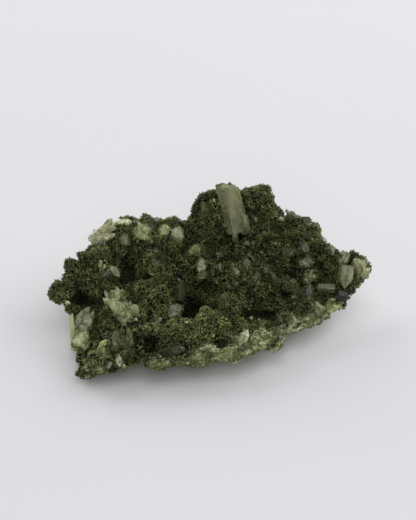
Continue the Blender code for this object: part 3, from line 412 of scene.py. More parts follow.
def cell_distances(points, size, seed):
    """Distances to the nearest two of random spots strewn one to a cell, as shares of the size, and a tag.

    The tag is the nearest spot's own random number, the same all over its cell.
    """
    scaled = points / size
    base = np.floor(scaled)
    first = np.full(len(points), 9.0)
    second = first.copy()
    tag = np.zeros(len(points))
    for offset in np.ndindex(3, 3, 3):
        cell = base + offset - 1
        spot = cell + np.stack([lattice_random(cell, seed + axis) for axis in range(3)], axis=1)
        far = np.linalg.norm(scaled - spot, axis=1)
        nearer = far < first
        second = np.where(nearer, first, np.minimum(second, far))
        tag = np.where(nearer, lattice_random(cell, seed + 7), tag)
        first = np.where(nearer, far, first)
    return first, second, tag


def dome(points, size, seed):
    """Rounded knobs side by side, 1 at a knob's top and 0 in the furrows round it, and the knobs' tags."""
    first, second, tag = cell_distances(points, size, seed)
    return np.sqrt(np.clip(1 - (first / np.maximum(0.5 * (first + second), 1e-6)) ** 2, 0, 1)), tag


def unit(vectors):
    """Vectors brought to length 1."""
    return vectors / np.maximum(np.linalg.norm(vectors, axis=-1, keepdims=True), TINY)


def metres(*lengths):
    """Lengths or places given in mm, as arrays in metres."""
    return [np.array(length) * MM for length in lengths]


def in_slope(local, side=ACROSS, rise=UPHILL):
    """Points given along a side and a rise in the slope and out of it, turned into the frame."""
    return local[:, :1] * side + local[:, 1:2] * rise + local[:, 2:] * OUTWARD


def mostly_small(limits, shares):
    """Sizes between two limits, most of them near the lower one: by the squares of random shares."""
    return limits[0] + np.ptp(limits) * shares ** 2


def new_object(name, data):
    """An object in the scene for a mesh, light or camera."""
    made = bpy.data.objects.new(name, data)
    bpy.context.scene.collection.objects.link(made)
    return made


def add_mesh(name, points, faces, smooth=False):
    """A mesh object from an array of points and one of faces, which all have the same number of corners."""
    mesh = bpy.data.meshes.new(name)
    count, corners = faces.shape
    mesh.vertices.add(len(points))
    mesh.vertices.foreach_set("co", points.astype(np.float32).ravel())
    mesh.loops.add(count * corners)
    mesh.loops.foreach_set("vertex_index", faces.astype(np.int32).ravel())
    mesh.polygons.add(count)
    mesh.polygons.foreach_set("loop_start", np.arange(count, dtype=np.int32) * corners)
    mesh.polygons.foreach_set("loop_total", np.full(count, corners, dtype=np.int32))
    mesh.polygons.foreach_set("use_smooth", np.full(count, smooth))
    mesh.update(calc_edges=True)
    return new_object(name, mesh)


def set_values(made, values):
    """Keep named numbers for each point of a mesh, for its material to read."""
    for name, numbers in values.items():
        kept = made.data.attributes.new(name, "FLOAT", "POINT")
        kept.data.foreach_set("value", numbers.astype(np.float32))


def finish_piece(made, slot, material, *replaced):
    """Give a piece its material and its body, and hide the nodes that it stands for. The slot is not used.
    """
    made.data.materials.append(material)
    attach(made, BODY)
    if replaced:
        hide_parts(*replaced)


def gridded_rock():
    """The rock's solid on a fine even grid, once its doubled points are merged: points and quads."""
    work = bmesh.new()
    work.from_mesh(frame["nodes"]["epidote_matrix"].data)
    bmesh.ops.remove_doubles(work, verts=work.verts, dist=0.001 * MM)
    merged = bpy.data.meshes.new("rough_skin")
    work.to_mesh(merged)
    work.free()
    rough = new_object("rough_skin", merged)
    grid = rough.modifiers.new("grid", "REMESH")
    grid.mode = "VOXEL"
    grid.voxel_size = SKIN_GRID
    graph = bpy.context.evaluated_depsgraph_get()
    mesh = bpy.data.meshes.new_from_object(rough.evaluated_get(graph))
    bpy.data.objects.remove(rough)
    points = np.empty(len(mesh.vertices) * 3)
    mesh.vertices.foreach_get("co", points)
    quads = np.empty(len(mesh.loops), dtype=np.int32)
    mesh.loops.foreach_get("vertex_index", quads)
    return points.reshape(-1, 3), quads.reshape(-1, 4)


def face_crosses(points, faces):
    """Each face's corners, and its normal times twice its area.

    That is the cross product of a quad's diagonals, or of the two sides from a triangle's first corner.
    """
    corner = points[faces]
    across = np.cross(corner[:, -2] - corner[:, 0], corner[:, -1] - corner[:, faces.shape[1] - 3])
    return corner, across


def point_normals(points, quads):
    """Outward unit normals of a quad mesh's points: the mean of the diagonals' cross products round each."""
    _, across = face_crosses(points, quads)
    normals = np.zeros_like(points)
    for axis in range(3):
        share = np.repeat(across[:, axis], 4)
        normals[:, axis] = np.bincount(quads.ravel(), weights=share, minlength=len(points))
    return unit(normals)


def relax(points, quads, rounds):
    """Move every point halfway to the middle of its neighbours along the quads' edges, for some rounds."""
    start = quads.ravel()
    end = np.roll(quads, -1, axis=1).ravel()
    degree = np.bincount(start, minlength=len(points)) + np.bincount(end, minlength=len(points))
    for _ in range(rounds):
        moved = np.empty_like(points)
        for axis in range(3):
            moved[:, axis] = (
                np.bincount(start, weights=points[end, axis], minlength=len(points))
                + np.bincount(end, weights=points[start, axis], minlength=len(points))
            )
        points = 0.5 * points + 0.5 * moved / degree[:, None]
    return points


def crust_share(points, normals):
    """1 where the green crust has grown and 0 on broken rock: front edge, underside and foot of the back."""
    ragged = sum(far * smooth_noise(points, size, seed) for far, size, seed in EDGE_NOISES)
    edge = np.interp(points[:, 0], EDGE_AT, EDGE_LINE)
    behind_edge = smooth_step(points[:, 1] + ragged - edge, -EDGE_SOFTNESS, EDGE_SOFTNESS)
    lowest = np.where(points[:, 1] > BACK_FROM, LOWEST_BACK, LOWEST_FRONT)
    above = smooth_step(points[:, 2] + ragged - lowest, -EDGE_SOFTNESS, EDGE_SOFTNESS)
    strength, size, seed = UNDERSIDE_NOISE
    upward = smooth_step(normals[:, 2] + strength * smooth_noise(points, size, seed), *UNDERSIDE)
    return np.maximum(behind_edge, smooth_step(points[:, 2], *ALL_CRUST)) * above * upward


def ellipse_share(points, middle, size, rim, depth):
    """1 inside an ellipse of the slope and 0 outside its rim, as far as the points lie near its middle.

    The ellipse has the size in mm across the slope and up it, and stands along the way out of the slope.
    """
    away = points - np.array(middle) * MM
    reach = np.hypot(away[:, 0] / size[0], away @ UPHILL / size[1]) / (0.5 * MM)
    return (1 - smooth_step(reach, *rim)) * (np.abs(away @ OUTWARD) < depth)


def quartz_share(points):
    """1 where a quartz stone or prism stands out of the crust and 0 away from them.

    Seen along the way out of the slope, each stone covers an ellipse of its size and each prism a band of
    its width round the line from foot to tip.
    """
    share = np.zeros(len(points))
    stones = [(middle, size) for _, middle, size, *_ in QUARTZ_STONES]
    stones += [(middle, size) for _, _, group in QUARTZ_GROUPS for middle, size, _ in group]
    for middle, size in stones:
        share = np.maximum(share, ellipse_share(points, middle, size, STONE_RIM, SETTLING_REACH))
    bands = [(foot, tip, width) for _, _, group in QUARTZ_PRISMS for foot, tip, width, *_ in group]
    bands += [(foot, tip, spread) for _, _, foot, tip, spread, *_ in QUARTZ_SHEAVES]
    for foot, tip, width in bands:
        foot, along = np.array(foot) * MM, (np.array(tip) - np.array(foot)) * MM
        place = np.clip((points - foot) @ along / (along @ along), 0, 1)
        away = points - foot - place[:, None] * along
        reach = np.hypot(away[:, 0], away @ UPHILL) / (0.5 * width * MM)
        band = (1 - smooth_step(reach, *BAND_RIM)) * (np.abs(away @ OUTWARD) < BAND_REACH)
        share = np.maximum(share, band)
    return share


def skin_level(points, place):
    """How far out of the slope the skin lies at a place: the level that most points near it stay below."""
    away = points - place
    near = (np.abs(away[:, 0]) < SETTLING_WIDTH) & (np.abs(away @ UPHILL) < SETTLING_WIDTH)
    levels = (away @ OUTWARD)[near]
    levels = levels[np.abs(levels) < SETTLING_REACH]
    return np.quantile(levels, SETTLING_LEVEL) if len(levels) else 0.0


def make_skin():
    """The rock's skin: the solid on a fine grid, its facets relaxed, then knobs and breaks raised on it.

    Each point moves along its normal. On the crust it moves by knobs of three sizes, and further in where it
    already lies in a hollow, which is where the far relaxed surface stands above it. On broken rock it moves
    by blocks, each of which keeps one height all over its cell.
    """
    points, quads = gridded_rock()
    points = relax(points, quads, SKIN_SMOOTHING)
    normals = point_normals(points, quads)
    hollow = np.einsum("ij,ij->i", relax(points, quads, HOLLOW_ROUNDS) - points, normals)
    crust = crust_share(points, normals)
    bent = np.stack([smooth_noise(points, BEND_SIZE, BEND_SEED + axis) for axis in range(3)], axis=1)
    domes, tags = zip(*[dome(points + bend * bent, width, seed) for width, _, bend, _, seed in LUMPS])
    heights = [height for _, height, *_ in LUMPS]
    lowest, higher = LARGE_LUMP_HEIGHTS
    knobs = heights[0] * (domes[0] * (lowest + higher * tags[0]) - lowest) + heights[1] * (domes[1] - 0.5)
    knobs += heights[2] * (domes[2] - 0.5) - HOLLOW_DEEPENED * hollow
    cells = [cell_distances(points * BREAK_STRETCH, size, seed)[2] for size, _, seed in BREAKS]
    breaks = sum(height * (cell - 0.5) for (_, height, _), cell in zip(BREAKS, cells))
    rise = crust * (knobs - SKIN_SINK) + (1 - crust) * (breaks - ROCK_SINK)
    # Each crevice is cut in, and its share is kept for painted shade
    deep = np.zeros(len(points))
    for middle, size, depth in CREVICES:
        share = ellipse_share(points, middle, size, CREVICE_RIM, CREVICE_REACH)
        rise = rise - share * depth * MM
        deep = np.maximum(deep, share)
    for middle, reach, amount in SWELLS:
        away = np.linalg.norm(points - np.array(middle) * MM, axis=1)
        rise = rise + amount * MM * (1 - smooth_step(away, 0.4 * reach * MM, reach * MM))
    bare = quartz_share(points)
    rise = rise * (1 - bare) - QUARTZ_ROOM * bare
    resting = (points[:, 2] < RESTING[0]) & (normals[:, 2] < RESTING[1])
    points = points + normals * np.where(resting, 0, rise)[:, None]
    points[:, 2] = np.where(resting, 0.0, np.maximum(points[:, 2], LEAST_HEIGHT))
    # Painted shade: the crust is darkened in its knobs' furrows, in hollows and in the crevices
    narrow = [dark * (1 - smooth_step(top, *SHADE_FADE_HEIGHTS)) for (*_, dark, _), top in zip(LUMPS, domes)]
    painted_shade = np.max(narrow, axis=0) + 0.9 * smooth_step(hollow, *HOLLOW_SHADE_DEPTHS) + deep
    painted_shade = np.clip(painted_shade, 0, 1)
    made = add_mesh("crusted_rock", points, quads, smooth=True)
    block = BLOCK_SHARES[0] * cells[0] + BLOCK_SHARES[1] * cells[1]
    set_values(made, {"crust": crust, "painted_shade": painted_shade, "block": block})
    return made, points, quads, crust * (1 - bare), painted_shade, 0.5 * (tags[0] + tags[1])


def strew(points, faces, weights, draw, count=None):
    """Random places on a mesh, with their normals and faces, each face drawn by its area times its weight.

    Without a count there are as many as DUST_DENSITY says. In a quad a place is drawn by two shares of its
    sides, and in a triangle by the three parts that two cuts make of a length.
    """
    corner, across = face_crosses(points, faces)
    size = np.linalg.norm(across, axis=1)
    chance = size * weights
    if count is None:
        count = int(DUST_DENSITY * chance.sum() / 2 / MM ** 2)
    chosen = draw.choice(len(faces), count, p=chance / chance.sum())
    u, v = draw.random((2, count, 1))
    drawn = corner[chosen]
    if faces.shape[1] == 4:
        low = drawn[:, 0] * (1 - u) + drawn[:, 1] * u
        high = drawn[:, 3] * (1 - u) + drawn[:, 2] * u
        place = low * (1 - v) + high * v
    else:
        u, v = np.minimum(u, v), np.maximum(u, v)
        place = drawn[:, 0] * u + drawn[:, 1] * (v - u) + drawn[:, 2] * (1 - v)
    return place, across[chosen] / np.maximum(size[chosen], TINY)[:, None], chosen


def frames_along(directions, draw):
    """For each direction, two unit vectors square to it and to each other, turned at random about it."""
    helper = np.where(np.abs(directions[:, 2:]) < 0.9, (0.0, 0.0, 1.0), (1.0, 0.0, 0.0))
    side = unit(np.cross(directions, helper))
    other = np.cross(directions, side)
    turn = draw.uniform(0, 2 * np.pi, (len(directions), 1))
    return side * np.cos(turn) + other * np.sin(turn), other * np.cos(turn) - side * np.sin(turn)


def repeated(points, faces):
    """Many small shapes as one: points by shape and corner, and one shape's faces, numbered on for each."""
    numbers = np.array(faces) + points.shape[1] * np.arange(len(points))[:, None, None]
    return points.reshape(-1, 3), numbers.reshape(-1, 3)


def spindles(places, directions, lengths, widths, draw):
    """Many three-sided crystals with a pointed end in one mesh.

    Each is a profile along its direction: a point sunk below the place, three corners at the belt's share of
    the length, a third of a turn apart, and a point at the full length.
    """
    side, other = frames_along(directions, draw)
    along = directions * lengths[:, None]
    half = widths[:, None] / 2
    girdle = places + along * SPINDLE_BELT
    left, right = 0.87 * other - 0.5 * side, -0.87 * other - 0.5 * side
    rings = [girdle + side * half, girdle + left * half, girdle + right * half]
    points = np.stack([places - along * SPINDLE_ROOT, *rings, places + along], axis=1)
    return repeated(points, [(0, 2, 1), (0, 3, 2), (0, 1, 3), (4, 1, 2), (4, 2, 3), (4, 3, 1)])


def patch_tones_and_light(points):
    """How much lighter or darker the crust is in its patches, its own tone with painted light and shade:
    bells of the distance seen from above.
    """
    tones = np.zeros(len(points))
    for x, y, spread, amount in TONE_AND_LIGHT_PATCHES:
        away = np.square(points[:, :2] / MM - (x, y)).sum(axis=1)
        tones += amount * np.exp(-away / spread ** 2)
    return tones


def shaded_crystal_tints(tones):
    """Tints of the spindles' points, painted shade and light along each: dark at the root, lighter at the
    belt and lightest at the tip.
    """
    return (tones[:, None] * np.array(SPINDLE_SHADE_TINTS)).ravel()


def make_needles(points, quads, crust, painted_shade, tone, material):
    """The crust's small crystals: tufts that open round the normal, in pieces from left to right.

    Candidates are strewn over the crust, and the first in each cube of the tufts' spacing is kept.
    """
    draw = np.random.default_rng(NEEDLE_SEED)
    share = crust[quads].mean(axis=1) ** 2
    place, normal, chosen = strew(points, quads, share, np.random.default_rng(TUFT_SEED), TUFT_TRIES)
    _, first = np.unique(np.floor(place / TUFT_SPACE).astype(int), axis=0, return_index=True)
    count = len(first) * TUFT_CRYSTALS
    first = np.repeat(first, TUFT_CRYSTALS)
    place, normal, chosen = place[first], normal[first], chosen[first]
    scatter = unit(draw.normal(size=place.shape))
    direction = unit(normal + NEEDLE_LEAN * scatter)
    place = place + TUFT_SPREAD * scatter
    length = draw.uniform(*NEEDLE_LENGTH, count)
    width = draw.uniform(*NEEDLE_WIDTH, count)
    knob = tone[quads[chosen, 0]] - 0.5
    mean, spread = NEEDLE_TONES
    tones = mean + draw.normal(0, spread, count) + KNOB_TONES * knob + patch_tones_and_light(place)
    tones = np.clip(tones, *NEEDLE_TONE_LIMITS)
    # The painted shade of the skin where each crystal stands
    depth = painted_shade[quads].mean(axis=1)[chosen]
    order = np.argsort(np.repeat(place[::TUFT_CRYSTALS, 0], TUFT_CRYSTALS), kind="stable")
    for name, part in zip(NEEDLE_PIECES, np.array_split(order, len(NEEDLE_PIECES))):
        made = add_mesh(name, *spindles(place[part], direction[part], length[part], width[part], draw))
        depths = np.repeat(depth[part], SPINDLE_POINTS)
        set_values(made, {"tint": shaded_crystal_tints(tones[part]), "painted_shade": depths})
        finish_piece(made, "epidote_crust", material)


def grains(places, directions, sizes, draw):
    """Many broken grains: each a flattened eight-sided stone with its six corners moved about."""
    side, other = frames_along(directions, draw)
    reach = sizes[:, None] / 2
    rough = draw.uniform(*GRAIN_ROUGHNESS, (6, len(places), 1))
    ways = zip((side, other, -side, -other, directions, -directions), rough, GRAIN_STRETCH)
    points = np.stack([places + way * reach * moved * stretch for way, moved, stretch in ways], axis=1)
    faces = [(4, 0, 1), (4, 1, 2), (4, 2, 3), (4, 3, 0), (5, 1, 0), (5, 2, 1), (5, 3, 2), (5, 0, 3)]
    return repeated(points, faces)


def make_grains(points, quads, crust, material):
    """Grains and splinters on the broken rock of the front edge, the underside and the back."""
    draw = np.random.default_rng(GRAIN_SEED)
    lifted = points[quads][:, :, 2].mean(axis=1) > GRAIN_LOWEST
    share = (1 - crust[quads].mean(axis=1)) * lifted
    place, normal, _ = strew(points, quads, share, np.random.default_rng(GRAIN_PLACE_SEED), GRAIN_COUNT)
    direction = unit(normal + GRAIN_LEAN * draw.normal(size=place.shape))
    size = mostly_small(GRAIN_SIZE, draw.random(GRAIN_COUNT))
    shape, faces = grains(place, direction, size, draw)
    shape[:, 2] = np.maximum(shape[:, 2], LEAST_HEIGHT)
    made = add_mesh("broken_grains", shape, faces)
    set_values(made, {"tint": np.repeat(draw.random(GRAIN_COUNT) ** 2, 6)})
    finish_piece(made, "epidote_crust", material)


class Shader:
    """A material or shader group under construction, with short ways to add and join its nodes."""

    def __init__(self, tree):
        self.tree = tree

    def put(self, made, inputs):
        """Link a node's inputs to sockets or set them to values, named as in the editor or numbered."""
        for name, value in inputs.items():
            if isinstance(value, bpy.types.NodeSocket):
                self.tree.links.new(value, made.inputs[name])
            else:
                made.inputs[name].default_value = value

    def node(self, kind, settings, inputs):
        """The outputs of a new node with its settings and inputs."""
        made = self.tree.nodes.new("ShaderNode" + kind)
        for name, value in settings.items():
            setattr(made, name, value)
        self.put(made, inputs)
        return made.outputs

    def add(self, first, second):
        """The sum of two values."""
        return self.node("Math", {"operation": "ADD"}, {0: first, 1: second})[0]

    def times(self, first, second):
        """The product of two values."""
        return self.node("Math", {"operation": "MULTIPLY"}, {0: first, 1: second})[0]

    def scaled(self, colour, amount):
        """A colour made lighter or darker by a value."""
        return self.node("VectorMath", {"operation": "SCALE"}, {"Vector": colour, "Scale": amount})[0]

    def mix(self, share, first, second):
        """A blend of two colours."""
        return self.node("MixRGB", {}, {"Fac": share, "Color1": first, "Color2": second})[0]

    def range(self, value, low, high, out_low=0.0, out_high=1.0):
        """A value brought from one range to another and kept inside it."""
        limits = {"From Min": low, "From Max": high, "To Min": out_low, "To Max": out_high}
        return self.node("MapRange", {"clamp": True}, {"Value": value, **limits})[0]

    def noise(self, place, scale, detail=3.0):
        """Cloudy noise at a place, with a scale in waves to the metre."""
        settings = {"Vector": place, "Scale": scale, "Detail": detail, "Roughness": 0.6}
        return self.node("TexNoise", {}, settings)[0]

    def bump(self, strength, distance, height):
        """A normal roughened by a height."""
        return self.node("Bump", {}, {"Strength": strength, "Distance": distance, "Height": height})[0]

    def place(self):
        """The place on the object."""
        return self.node("TexCoord", {}, {})["Object"]

    def kept(self, name):
        """A number kept with the mesh's points."""
        return self.node("Attribute", {"attribute_name": name}, {})["Fac"]


def new_group(name, inputs, outputs):
    """A shader group with named inputs and outputs, each with its kind and, for an input, its value."""
    tree = bpy.data.node_groups.new(name, "ShaderNodeTree")
    for title, value in inputs.items():
        kind = "NodeSocketColor" if value is None else "NodeSocketFloat"
        socket = tree.interface.new_socket(title, in_out="INPUT", socket_type=kind)
        if value is not None:
            socket.default_value = value
    for title, kind in outputs.items():
        tree.interface.new_socket(title, in_out="OUTPUT", socket_type="NodeSocket" + kind)
    return Shader(tree), tree.nodes.new("NodeGroupInput").outputs, tree.nodes.new("NodeGroupOutput")


def speckle_group():
    """Shader group: colour from dark over middle to light by a value, with patches and fine specks."""
    inputs = {"Value": 0.5, "Dark": None, "Middle": None, "Light": None, "Patch": 0.5}
    build, given, result = new_group("Crystal colour", inputs, {"Color": "Color"})
    place = build.place()
    cloud = build.add(build.noise(place, 95.0), -0.5)
    speck = build.add(build.noise(place, 900.0, detail=1.0), -0.5)
    value = build.add(given["Value"], build.times(cloud, given["Patch"]))
    value = build.add(value, build.times(speck, 0.3))
    lower = build.mix(build.range(value, 0.0, 0.5), given["Dark"], given["Middle"])
    build.put(result, {"Color": build.mix(build.range(value, 0.5, 1.0), lower, given["Light"])})
    return build.tree


def veil_group():
    """Shader group: quartz colour with veils, green inclusions and growth lines, and a bump height."""
    inputs = {
        "Clear": None, "Cloud": None, "Stain": None, "Cloudiness": 0.5, "Staining": 0.3, "Light": 1.0,
        "Dust": 0.0, "Streak": 0.5,
    }
    outputs = {"Color": "Color", "Height": "Float", "Roughness": "Float"}
    build, given, result = new_group("Quartz veils", inputs, outputs)
    place = build.place()
    cloud = build.noise(place, 260.0, detail=4.0)
    clouds = build.add(build.times(cloud, 0.6), build.times(given["Streak"], 0.7))
    veil = build.range(build.add(clouds, given["Cloudiness"]), 0.9, 1.4)
    staining = build.add(given["Staining"], build.times(given["Dust"], 0.3))
    stain = build.range(build.add(build.noise(place, 430.0), staining), 0.85, 1.15)
    colour = build.mix(stain, build.mix(veil, given["Clear"], given["Cloud"]), given["Stain"])
    mottle = build.range(build.noise(place, 450.0, detail=2.0), 0.38, 0.62, 0.84, 1.1)
    mottle = build.times(mottle, build.range(given["Streak"], 0.1, 0.9, 0.74, 1.22))
    # The piece's lightness, its own paleness with painted light and shade, scales the colour
    colour = build.scaled(build.scaled(colour, mottle), given["Light"])
    drawn = build.node("Mapping", {}, {"Vector": place, "Scale": (3.0, 3.0, 0.4)})[0]
    height = build.add(build.noise(drawn, 700.0), build.noise(place, 1500.0))
    roughness = build.range(veil, 0.0, 1.0, 0.08, 0.3)
    build.put(result, {"Color": colour, "Height": height, "Roughness": roughness})
    return build.tree


def new_material(name, constants):
    """A material, its builder and its shader, with the constants set on the shader's own sockets."""
    made = bpy.data.materials.new(name)
    made.use_nodes = True
    shader = made.node_tree.nodes["Principled BSDF"]
    for title, value in constants.items():
        shader.inputs[title].default_value = value
    return made, Shader(made.node_tree), shader


def crystal_colour(build, group, value, colours, patch):
    """The colour that the speckle group gives for its values."""
    return build.node("Group", {"node_tree": group}, {"Value": value, **colours, "Patch": patch})["Color"]


def needle_material(group):
    """Glossy green epidote, darkened by painted shade in furrows, hollows and crevices, its tint drawn
    crystal by crystal.
    """
    made, build, shader = new_material("epidote needles", {"Roughness": 0.38, "Specular IOR Level": 0.28})
    # Painted shade: each crystal's tint falls towards dark where the shade under it is strong
    open_share = build.range(build.kept("painted_shade"), 0.0, 1.0, 1.0, 0.12)
    value = build.times(build.kept("tint"), open_share)
    build.put(shader, {"Base Color": crystal_colour(build, group, value, EPIDOTE, 0.45)})
    return made


def skin_material(group):
    """The rock under the crust's crystals, darkened by painted shade in furrows, hollows and crevices, and
    broken rock with pale streaks where no crust has grown.
    """
    made, build, shader = new_material("crusted rock", {"Roughness": 0.7, "Specular IOR Level": 0.12})
    place = build.place()
    # Painted shade: the rock under the crust turns darker as the shade value rises
    depth = build.add(build.times(build.kept("painted_shade"), -1.0), 0.25)
    under = crystal_colour(build, group, depth, EPIDOTE, 0.6)
    drawn = {"Vector": place, "Rotation": (0.0, -0.55, 0.1), "Scale": (2.6, 0.9, 0.6)}
    streak = build.noise(build.node("Mapping", {"vector_type": "TEXTURE"}, drawn)[0], 420.0, detail=4.0)
    value = build.add(build.times(streak, 2.4), build.times(build.kept("block"), 0.35))
    rock = crystal_colour(build, group, build.add(value, -0.89), ROCK, 0.7)
    rough = build.bump(0.5, 0.3 * MM, build.noise(place, 1600.0))
    build.put(shader, {"Base Color": build.mix(build.kept("crust"), rock, under), "Normal": rough})
    return made


def grain_material(group):
    """Broken green rock in grains: dark, green and whitish ones."""
    made, build, shader = new_material("broken grains", {"Roughness": 0.45})
    build.put(shader, {"Base Color": crystal_colour(build, group, build.kept("tint"), ROCK, 0.5)})
    return made


def quartz_material(slot, group):
    """See-through quartz with veils and stains, its share of plain transmission set on the shader itself."""
    clear, cloud, stain, cloudiness, staining, see_through = QUARTZ_FINISHES[slot]
    made, build, shader = new_material(
        slot.replace("_", " "),
        {"Transmission Weight": see_through, "IOR": QUARTZ_IOR, "Specular IOR Level": 0.3},
    )
    veils = build.node("Group", {"node_tree": group}, {
        "Clear": clear, "Cloud": cloud, "Stain": stain, "Cloudiness": cloudiness, "Staining": staining,
        "Light": build.kept("light"), "Dust": build.kept("dust"), "Streak": build.kept("streak"),
    })
    rough = build.bump(0.08, 0.2 * MM, veils["Height"])
    build.put(shader, {"Base Color": veils["Color"], "Roughness": veils["Roughness"], "Normal": rough})
    return made


def tube_faces(rows, columns):
    """Triangles of a closed skin: rings of points from one end to the other, between two end points."""
    ring = np.arange(columns)
    after = (ring + 1) % columns
    start = 1 + np.arange(rows - 1)[:, None] * columns
    low, low_after = start + ring, start + after
    high, high_after = low + columns, low_after + columns
    walls = np.stack([low, low_after, high_after, low, high_after, high], axis=-1).reshape(-1, 3)
    first = np.stack([np.zeros_like(ring), 1 + after, 1 + ring], axis=-1)
    top = 1 + (rows - 1) * columns
    last = np.stack([np.full_like(ring, top + columns), top + ring, top + after], axis=-1)
    return np.concatenate([walls, first, last])


def ball_directions(rows, columns):
    """Directions in rings from the lowest pole to the highest: sines and cosines of two angles."""
    height = np.linspace(-np.pi / 2, np.pi / 2, rows + 2)[1:-1, None]
    around = np.arange(columns) * 2 * np.pi / columns + 0 * height
    flat = np.cos(height)
    ring = np.stack([flat * np.cos(around), flat * np.sin(around), np.sin(height) + 0 * around], axis=-1)
    return np.concatenate([[(0, 0, -1)], ring.reshape(-1, 3), [(0, 0, 1)]])


def facet_reach(directions, planes, reaches, sharpness):
    """How far a stone with flat faces reaches in each direction.

    The reach to one plane is the plane's distance over the cosine towards it. The nearest plane counts,
    softened at the edges: minus the log of the sum of exp(-sharpness * reach), over the sharpness.
    """
    cosine = np.maximum(directions @ planes.T, 0.12)
    return -np.log(np.exp(-sharpness * reaches / cosine).sum(axis=1)) / sharpness


def random_planes(count, draw):
    """Directions spread evenly over a ball on a golden spiral, then jittered."""
    step = np.arange(count) + 0.5
    height = 1 - 2 * step / count
    around = step * np.pi * (3 - math.sqrt(5))
    flat = np.sqrt(1 - height ** 2)
    even = np.stack([flat * np.cos(around), flat * np.sin(around), height], axis=1)
    return unit(even + 0.35 * draw.normal(size=even.shape))


def stone_shape(middle, size, turn, draw):
    """A worn quartz stone of flat faces, its middle and size in metres, turned in the plane of the slope."""
    directions = ball_directions(*STONE_GRID)
    planes = random_planes(STONE_FACES, draw)
    reach = facet_reach(directions, planes, draw.uniform(*STONE_REACHES, STONE_FACES), STONE_SHARPNESS)
    height, spacing, seed = STONE_WEAR
    wear = height * smooth_noise(directions + draw.uniform(0, 90, 3), spacing, seed)
    local = directions * (reach + wear)[:, None] * size * STONE_GROWTH / 2
    angle = math.radians(turn)
    side = math.cos(angle) * ACROSS + math.sin(angle) * UPHILL
    rise = math.cos(angle) * UPHILL - math.sin(angle) * ACROSS
    return middle + in_slope(local, side, rise), tube_faces(*STONE_GRID), directions


def chip_shape(place, size, lift, draw):
    """A small stone of flat faces, drawn in at random along each way and lifted by a share of its size."""
    directions = ball_directions(*CHIP_GRID)
    planes = random_planes(CHIP_FACES, draw)
    reach = facet_reach(directions, planes, draw.uniform(*CHIP_REACHES, CHIP_FACES), CHIP_SHARPNESS)
    local = directions * reach[:, None] * size * draw.uniform(*CHIP_SHAPES, 3) / 2
    return place + lift * size * OUTWARD + in_slope(local), tube_faces(*CHIP_GRID)


def prism_shape(foot, tip, width, depth, roll, point, slant, draw, grid=PRISM_GRID):
    """A six-sided crystal: its section of straight sides carried along the axis and drawn in to its point.

    The section's corners stand on an ellipse, each moved a little. At every height the section is scaled by
    a slow taper, by growth lines (noise of the height, other for each side) and, over the point's share,
    down to the apex, which stands beside the axis. The nearer the end, the more the sections slant.
    """
    rows, steps, point_rows = grid
    length = np.linalg.norm(tip - foot)
    axis = (tip - foot) / length
    side = unit(np.cross(axis, OUTWARD))
    other = np.cross(axis, side)
    turn, lean = math.cos(math.radians(roll)), math.sin(math.radians(roll))
    side, other = side * turn + other * lean, other * turn - side * lean
    corner = np.arange(6) * np.pi / 3
    reach = draw.uniform(*PRISM_CORNERS, 6)
    flat = np.stack([np.cos(corner) * reach * width / 2, np.sin(corner) * reach * depth / 2], axis=1)
    share = (np.arange(steps) / steps)[None, :, None]
    section = (flat[:, None] * (1 - share) + np.roll(flat, -1, axis=0)[:, None] * share).reshape(-1, 2)
    number = np.repeat(np.arange(6), steps)
    sides_end = 1 - point
    tops = sides_end + point * np.linspace(*POINT_HEIGHTS, point_rows)
    height = np.concatenate([np.linspace(0, sides_end, rows), tops])
    lines = np.broadcast_arrays(height[:, None] * length / MM * GROWTH_LINES, 9.0 * number, 5.0)
    lines = np.stack(lines, axis=-1).reshape(-1, 3) + draw.uniform(0, 50)
    growth = smooth_noise(lines, 1.0, GROWTH_SEED).reshape(len(height), -1)
    drawn_in = np.clip((1 - height) / point, 0, 1)[:, None]
    scale = (1.0 - PRISM_TAPER * height[:, None]) * (1 + GROWTH_DEPTH * growth) * drawn_in
    apex = draw.uniform(-APEX_SHIFT, APEX_SHIFT, 2) * (width, depth)
    u = section[:, 0] * scale + apex[0] * (1 - drawn_in)
    v = section[:, 1] * scale + apex[1] * (1 - drawn_in)
    along = height[:, None] * (length + slant * u)
    ring = foot + u[..., None] * side + v[..., None] * other + along[..., None] * axis
    last = foot + apex[0] * side + apex[1] * other + length * axis
    points = np.concatenate([[foot], ring.reshape(-1, 3), [last]])
    around = np.concatenate([[0], np.tile(number + 0.5 * section[:, 0] / width, len(height)), [0]])
    risen = np.concatenate([[0], np.repeat(height, len(number)), [1]])
    streak = np.stack([around * 3.0, 0 * around, risen * 0.6], axis=1)
    return points, tube_faces(len(height), 6 * steps), streak


def join_shapes(shapes):
    """Several shapes as one: their points one after another, and their faces renumbered."""
    starts = np.cumsum([0] + [len(shape[0]) for shape in shapes[:-1]])
    points = np.concatenate([shape[0] for shape in shapes])
    faces = np.concatenate([shape[1] + start for shape, start in zip(shapes, starts)])
    return points, faces


def grown_together(middle, size, turn, count, draw):
    """Stones that fill a size together: the first stands in the middle, the others round it."""
    if count == 1:
        return [stone_shape(middle, size, turn, draw)]
    shapes = [stone_shape(middle, size * FIRST_STONE, turn, draw)]
    around = draw.uniform(0, 2 * np.pi) + np.arange(count - 1) * 2 * np.pi / (count - 1)
    for angle in around:
        offset = np.array((math.cos(angle), math.sin(angle), draw.uniform(*STONE_RING_LIFTS)))
        across, up, out = offset * STONE_RING * size
        place = middle + across * ACROSS + up * UPHILL + out * OUTWARD
        own_size = size * draw.uniform(*OTHER_STONES, 3)
        own_turn = turn + draw.uniform(-STONE_RING_TURN, STONE_RING_TURN)
        shapes.append(stone_shape(place, own_size, own_turn, draw))
    return shapes


def streaks_of(shape):
    """Streaks from 0 to 1: noise drawn out along a prism, or clouded in a stone, in two sizes."""
    places = shape[2] * 6 + shape[0][0] / MM
    streaks = 0.5
    for strength, size, squeeze, seed in STREAKS:
        streaks = streaks + strength * smooth_noise(places * (squeeze, squeeze, 1.0), size, seed)
    return np.clip(streaks, 0, 1)


